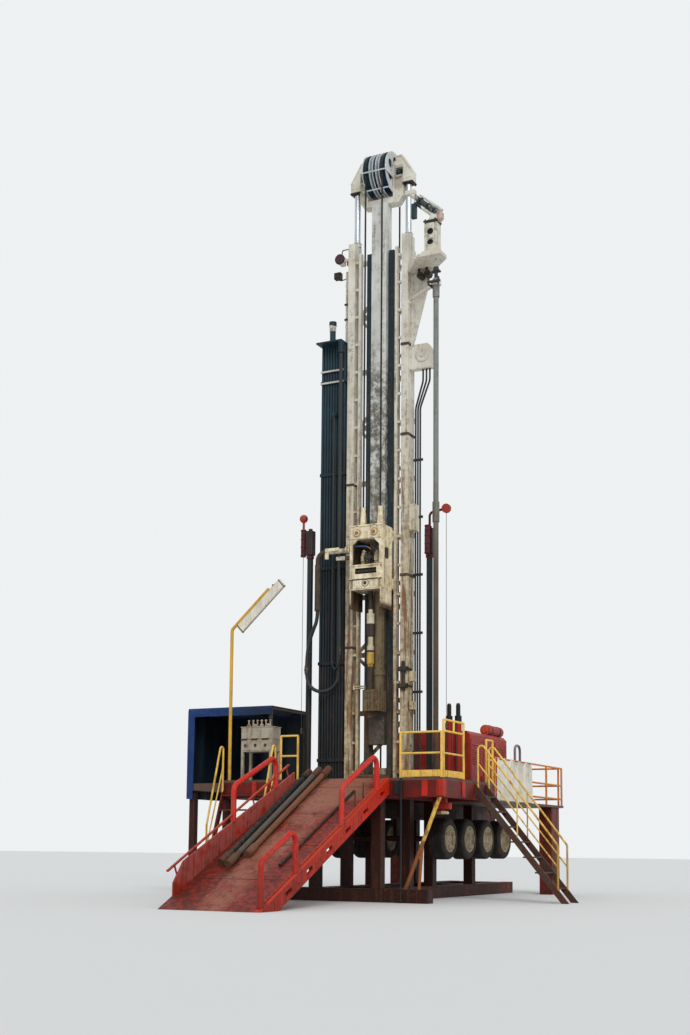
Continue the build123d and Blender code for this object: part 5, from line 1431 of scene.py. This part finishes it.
def beam(start, end, wide, high, edge=0.004, side=(1, 0, 0)):  # a straight bar of square section between two points
    only()
    a, b = Vector(start), Vector(end)
    along = (b - a).normalized()
    across = Vector(side)
    across = (across - along * across.dot(along)).normalized()
    up = along.cross(across)
    bpy.ops.mesh.primitive_cube_add(size=1)
    o = bpy.context.object
    turn = Matrix((across * wide, along * (b - a).length, up * high)).transposed().to_4x4()
    o.data.transform(Matrix.Translation((a + b) / 2) @ turn)
    editAll()
    bpy.ops.mesh.normals_make_consistent(inside=False)
    leaveEdit()
    return eased(o, edge)


def rampStrips():
    parts = [beam(onRamp(x, foot, up), onRamp(x, top, up), 0.055, thick) for x, foot, top, up, thick in ramp["strips"]]
    for k in range(ramp["stiffeners"]):  # down the outside of the left wall and the beam
        y = -6.7 + 0.75 * k
        parts.append(beam(onRamp(-1.158, y, -0.02), onRamp(-1.158, y, 0.52), 0.014, 0.05, 0.003))
    for y, half in ramp["plates"]:
        parts.append(beam(onRamp(1.09, y - half, 0.006), onRamp(1.09, y + half, 0.006), 0.17, 0.014))
    return parts


def rampPosts():  # two short posts by the edge, welded seams, bolts down the sides
    feet = [onRamp(0.98, y) for y in ramp["posts"]]
    parts = [drum(foot, foot + Vector((0, 0, 0.34)), 0.015, 10, 0.003) for foot in feet]
    for y in ramp["seams"]:
        parts.append(beam(onRamp(-1.09, y, 0.002), onRamp(1.03, y, 0.002), 0.014, 0.007, 0.002, side=(0, 1, 0)))
    for side in (-1, 1):
        for k in range(ramp["bolts"]):
            y = -6.9 + 0.93 * k
            z = onRamp(0, y).z - 0.235
            parts.append(drum((side * 1.149, y, z), (side * 1.163, y, z), 0.018, 6, 0.002))
    return parts


piece("rampStrips", "root", weathered("stripPaint", {
    **redLook, "colour": (196, 60, 28), "faded": (168, 62, 40), "low": 0, "high": 2.5, "lowColour": (150, 44, 24),
    "chips": 0.9, "dirt": 0.6,
}), rampStrips())
piece("rampPosts", "root", darkSteel, rampPosts())


# ---- floor: rotary bolts, corner fittings, the pole in front, the jack's foot
floor = {"well": (0, -0.42), "bolts": 16, "boltCircle": 0.40, "pole": (1.46, -1.80), "jack": (2.20, -1.15)}
wellX, wellY = floor["well"]
poleX, poleY = floor["pole"]
jackX, jackY = floor["jack"]
piece("floorTrim", "root", weathered("poleTeal", {
    **tealLook, "colour": (36, 66, 62), "faded": (52, 84, 80),
}), bolts("Z", floor["well"], floor["boltCircle"], floor["bolts"], 2.928, 2.95, 0.016) + kit(
    [((x - 0.09, -1.78, 2.42), (x + 0.09, -1.752, 2.72), 0.006) for x in (-1.35, 1.35)],
    [
        ((poleX, poleY, 0.0), (poleX, poleY, 2.79), 0.022, 12, 0.004),
        ((poleX, poleY, 0.02), (poleX, poleY, 0.08), 0.038, 12, 0.006),
        ((poleX, poleY, 2.69), (poleX, poleY, 2.75), 0.038, 12, 0.006),
    ],
    [((wellX, wellY, 2.93), (0, 0, 1), 0.315, 0.018, 40, 8)],
))
piece("cornerBlocks", "root", weathered("cornerPaint", {
    **redLook, "colour": (188, 44, 28), "low": 0, "high": 1,
}), kit([
    ((2.33, -1.775, 2.385), (2.462, -1.752, 2.755), 0.006),
    ((-2.462, -1.775, 2.385), (-2.33, -1.752, 2.755), 0.006),
    ((2.451, -1.765, 2.385), (2.475, -1.62, 2.755), 0.006),
    ((2.451, -0.62, 2.385), (2.475, -0.44, 2.755), 0.006),
    ((1.95, -1.775, 2.385), (2.09, -1.752, 2.755), 0.006),
    ((2.02, -1.24, 2.10), (2.40, -1.06, 2.24), 0.012),
    ((2.10, -1.22, 2.22), (2.30, -1.08, 2.44), 0.008),
], [
    ((jackX, jackY, 2.04), (jackX, jackY, 2.12), 0.05, 16, 0.008),
    *[((side * x, -1.775, z), (side * x, -1.789, z), 0.013, 6, 0.002)
      for side in (-1, 1) for z in (2.45, 2.69) for x in (2.36, 2.43)],
]))
piece("jackFoot", "root", creamPaint, kit(
    bars=[((jackX, jackY, 1.99), (jackX, jackY, 2.05), 0.15, 28, 0.012)],
    rings=[((jackX, jackY, 2.052), (0, 0, 1), 0.11, 0.012, 28, 6)],
))


# ---- light: a pale casing that faces the front, with dark ends and clips
lamp = {
    "start": Vector((-2.955, -1.64, 6.468)), "along": Vector((0.7354, 0, 0.6777)), "length": 1.6, "depth": 0.068,
    "height": 0.23, "front": Vector((0, -0.036, 0)),
    "ends": (0.02, 0.98), "clips": (0.14, 0.5, 0.86), "notches": (0.26, 0.5, 0.74),
}
lampBelow = Vector((lamp["along"].z, 0, -lamp["along"].x))


def onLamp(share, below=0.0):  # a point along the casing, and below its middle line
    return lamp["start"] + lamp["along"] * lamp["length"] * share + lampBelow * below


def lampBar(middle, half, wide, high, edge):  # a bar along the casing
    return beam(middle - lamp["along"] * half, middle + lamp["along"] * half, wide, high, edge, side=(0, 1, 0))


def lampCasing():
    front, half = lamp["front"], lamp["length"] / 2
    parts = [lampBar(onLamp(0.5), half, lamp["depth"], lamp["height"], 0.012)]
    parts.append(lampBar(onLamp(0.5) + front, half - 0.05, 0.008, 0.19, 0.003))
    for share in lamp["notches"]:
        start, end = onLamp(share, 0.02) + front, onLamp(share, 0.10) + front
        parts.append(beam(start, end, 0.009, 0.012, 0.002, side=(0, 1, 0)))
    return parts


piece("lampCasing", "root", weathered("lampWhite", {
    "colour": (236, 230, 214), "faded": (222, 216, 200), "dirt": 0.2, "streaks": 0.1, "chips": 0.1, "rough": 0.35,
}), lampCasing())
piece("lampMounts", "root", darkSteel, [
    *[lampBar(onLamp(share), 0.014, 0.078, 0.24, 0.006) for share in lamp["ends"]],
    *[lampBar(onLamp(share, -0.13), 0.025, 0.05, 0.05, 0.008) for share in lamp["clips"]],
])


# ---- control cabinet: panels, groove, dark sockets, lever knobs
cabinet = {
    "left": -3.15, "right": -2.30, "front": -1.15, "back": -0.70,
    "proud": (-0.001, 0.012),  # how far a panel stands in and out of its wall
    "columns": 3, "columnPitch": 0.27, "rows": ((3.84, 4.09), (3.55, 3.80)), "sideRows": ((3.54, 3.81), (3.83, 4.10)),
    "levers": 6, "keys": 4,
}


def cabinetPanels():
    left, right, front, back = (cabinet[key] for key in ("left", "right", "front", "back"))
    parts = [slab((left - 0.015, front - 0.02, 4.115), (right + 0.015, back + 0.01, 4.135), 0.005)]
    for k in range(cabinet["columns"]):
        x = left + 0.03 + cabinet["columnPitch"] * k
        for up in cabinet["rows"]:
            parts.append(panel("Y", front, -1, (x, x + 0.25), up, cabinet["proud"], 0.004, 0.02, 0.006))
    for wall, out in ((right, 1), (left, -1)):
        for up in cabinet["sideRows"]:
            across = (front + 0.03, back - 0.03)
            parts.append(panel("X", wall, out, across, up, cabinet["proud"], 0.004, 0.025, 0.006))
    return parts


def cabinetKnobs():
    pitch = (cabinet["right"] - cabinet["left"]) / (cabinet["levers"] + 1)
    levers = [cabinet["left"] + pitch * (k + 1) for k in range(cabinet["levers"])]
    keys = [-3.02 + 0.18 * k for k in range(cabinet["keys"])]
    return kit(
        [((x, -1.12, 4.136), (x + 0.09, -1.04, 4.20), 0.02) for x in keys],
        [((x, -1.0, 4.26), (x, -1.0, 4.31), 0.030, 14, 0.012) for x in levers],
        [((x, -1.0, 4.145), (0, 0, 1), 0.026, 0.010, 16, 6) for x in levers],
    )


piece("cabinetPanels", "root", greyPaint, cabinetPanels())
piece("cabinetKnobs", "root", whitePaint, cabinetKnobs())
piece("cabinetSockets", "root", darkSteel, kit(
    [((x, -1.176, 3.802), (x + 0.18, -1.16, 3.838), 0.003) for x in (-3.16, -2.86, -2.56)],
    [((x, -1.165, 3.675), (x, -1.185, 3.675), 0.035, 16, 0.004) for x in (-3.02, -2.74, -2.46)],
))


# ---- power pack: doors with louvres, straps and ends of the tank, lifting eyes
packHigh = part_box("power_pack")[1]
pack = {
    "walls": (("X", 1.18, 1), ("X", -0.95, -1), ("Y", 3.05, -1), ("Y", 5.75, 1)),  # axis, place and way out
    "doors": {"X": (3, 3.12, 0.87, 0.81), "Y": (2, -0.88, 1.02, 0.96)},  # count, start, pitch and width
    "up": (2.50, 4.04), "louvres": 9, "handle": (2.95, 3.10),
    "eyes": ((-0.7, 3.2), (-0.7, 5.6), (0.4, 3.2), (0.4, 5.6)),
}
tank = {"x": 0.97, "z": packHigh.z - 0.145, "radius": 0.145, "ends": ((4.68, -1), (5.70, 1)), "straps": (4.90, 5.48)}


def packDoors():
    parts = []
    for axis, wall, out in pack["walls"]:
        count, start, pitch, width = pack["doors"][axis]
        for k in range(count):
            a = start + pitch * k
            b = a + width
            parts.append(panel(axis, wall, out, (a, b), pack["up"], (-0.001, 0.016), 0.006, 0.045, 0.008))
            for n in range(pack["louvres"]):  # in the upper half
                z = 3.38 + 0.062 * n
                parts.append(panel(axis, wall, out, (a + 0.12, b - 0.12), (z, z + 0.03), (0.002, 0.026), 0.008))
            parts.append(panel(axis, wall, out, (b - 0.10, b - 0.07), pack["handle"], (0.008, 0.045), 0.008))
    return parts


def tankEnds():
    x, z, radius = tank["x"], tank["z"], tank["radius"]
    parts = []
    for y, out in tank["ends"]:
        parts.append(drum((x, y, z), (x, y + 0.035 * out, z), radius * 0.97, 32, 0.016))
        parts.append(drum((x, y + 0.03 * out, z), (x, y + 0.06 * out, z), radius * 0.66, 28, 0.018))
    return parts


def tankStraps():
    x, z, radius = tank["x"], tank["z"], tank["radius"]
    parts = [ring((px, py, 4.275), (1, 0, 0), 0.045, 0.012, 20, 8) for px, py in pack["eyes"]]
    for y in tank["straps"]:
        strap = disc((0, 0, 0), -0.03, 0.03, radius - 0.002, radius + 0.007, 40)
        strap.data.transform(Matrix.Translation((x, y, z)) @ Matrix.Rotation(math.radians(90), 4, "Z"))
        foot = z - radius
        parts += [strap, slab((x - 0.12, y - 0.05, foot - 0.005), (x + 0.12, y + 0.05, foot + 0.05), 0.008)]
    return parts


packRed = weathered("packRed", {
    **redLook, "colour": (170, 44, 30), "faded": (150, 42, 30), "low": 1, "high": 4, "lowColour": (112, 34, 22),
})
coat(packRed, "power_pack")
piece("packDoors", "root", packRed, packDoors())
piece("tankEnds", "root", weathered("tankEndPaint", {
    **redLook, "colour": (196, 76, 54), "faded": (176, 84, 66), "low": 0, "high": 1,
}), tankEnds())
piece("tankStraps", "root", darkRed, tankStraps())


# ---- wheels: tyres with grooves, dished rims with studs
def wheelTyre():
    outline = [(1.15, 0.325), (1.14, 0.36), (1.14, 0.43), (1.165, 0.475), (1.19, 0.494)]
    for k in range(4):  # tread ribs
        x = 1.215 + 0.075 * k
        outline += [(x, 0.5), (x + 0.042, 0.5), (x + 0.047, 0.486), (x + 0.062, 0.486)]
    outline += [(1.51, 0.494), (1.535, 0.475), (1.56, 0.43), (1.56, 0.36), (1.55, 0.325)]
    return lathe(outline, wheelCentre, 48)


def wheelRim():
    outline = [
        (1.18, 0.326), (1.545, 0.326), (1.558, 0.318), (1.55, 0.30), (1.50, 0.285), (1.47, 0.26), (1.465, 0.17),
        (1.50, 0.15), (1.535, 0.10), (1.555, 0.085), (1.558, 0.03), (1.18, 0.03),
    ]
    studs = bolts("X", wheelCentre[1:], wheel["studCircle"], wheel["studs"], 1.462, 1.487, 0.018, edge=0.003)
    return [lathe(outline, wheelCentre, 40), *studs]


wheelCentre = (wheel["x"], wheel["y"], wheel["z"])
tyreShape = joined("wheelTyre", [wheelTyre()], 40)
rimShape = joined("wheelRim", wheelRim(), 40)
tyrePaint = tyreFinish()
rimPaint = weathered("rimPaint", {
    **creamLook, "colour": (206, 194, 164), "faded": (184, 168, 136), "lowShare": 0, "dirt": 0.6,
    "dirtColour": (110, 88, 64), "spotScale": 10, "chips": 0.3, "streaks": 0.3,
})
moves = [(0, wheel["pitch"] * k, 0) for k in range(wheel["count"])]
for shape, name, slotName, material, node, leftNodes in (
    (tyreShape, "tyre", "tyre_rubber", tyrePaint, "wheel_right_", ["wheels_left"]),
    (rimShape, "rim", "cream_paint", rimPaint, None, ()),
):
    twins = copied(shape, moves)
    for twin in twins:  # the left row is fixed and mirrors the right one
        twin.data.transform(Matrix.Diagonal((-1, 1, 1, 1)))
        twin.data.flip_normals()
    for k, wheelPiece in enumerate(copied(shape, moves), 1):
        wheelPiece.name = f"{name}Right{k}"
        fit(wheelPiece, f"wheel_{k}", material, [f"{node}{k}"] if node else ())
    piece(name + "sLeft", "root", material, twins, leftNodes)
    bpy.data.objects.remove(shape)


# ---- raising cylinders: rings, glands and eyes
cylinders = {"x": (1.38, 1.62), "y": 1.2, "rings": (2.86, 4.30)}


def cylinderTrim():
    y = cylinders["y"]
    parts = []
    for x in cylinders["x"]:
        parts += [drum((x, y, z - 0.03), (x, y, z + 0.03), 0.082, 24, 0.006) for z in cylinders["rings"]]
        parts.append(drum((x, y, 4.72), (x, y, 4.76), 0.045, 16, 0.008))
        parts.append(bentBar([(x, 1.11, 3.0), (x, 1.075, 3.05), (x, 1.075, 4.2), (x, 1.11, 4.25)], 0.012, 1))
    return parts


piece("cylinderTrim", "root", darkSteel, cylinderTrim())
print("floor, machinery and wheels done")


# ---- plain pale floor and soft light
studio = {
    "ground": (0.78, 0.78, 0.77, 1), "size": 260,
    "light": ((0.93, 0.97, 1, 1), 0.58),  # colour and strength, on the rig
    "backdrop": ((0.86, 0.88, 0.89, 1), 1),  # as the camera, mirrors and glass see it
    "sunTurn": (52, 0, 38), "sunStrength": 1.5, "sunAngle": 28,
}
only()
bpy.ops.mesh.primitive_plane_add(size=studio["size"], location=(0, 0, -0.002))
ground = settle(bpy.context.object)
ground.name = "paleGround"
ground.data.materials.append(Finish("paleFloor").surface({"Base Color": studio["ground"], "Roughness": 0.9}))

bpy.context.scene.world = bpy.data.worlds.new("softSky")
sky = Finish("softSky", bpy.context.scene.world)
rays = [sky.node("ShaderNodeLightPath", output=f"Is {kind} Ray") for kind in ("Camera", "Glossy", "Transmission")]
light, backdrop = (
    sky.node("ShaderNodeBackground", {}, {"Color": colour, "Strength": strength})
    for colour, strength in (studio["light"], studio["backdrop"])
)
shown = sky.node("ShaderNodeMixShader", {}, {"Fac": rays[0].most(rays[1]).most(rays[2]), 1: light, 2: backdrop})
sky.node("ShaderNodeOutputWorld", {}, {"Surface": shown}, None)

only()
bpy.ops.object.light_add(type="SUN", rotation=[math.radians(a) for a in studio["sunTurn"]])
sun = bpy.context.object
sun.name = "softSun"
sun.data.energy = studio["sunStrength"]
sun.data.angle = math.radians(studio["sunAngle"])
bpy.context.scene.view_settings.view_transform = "Standard"
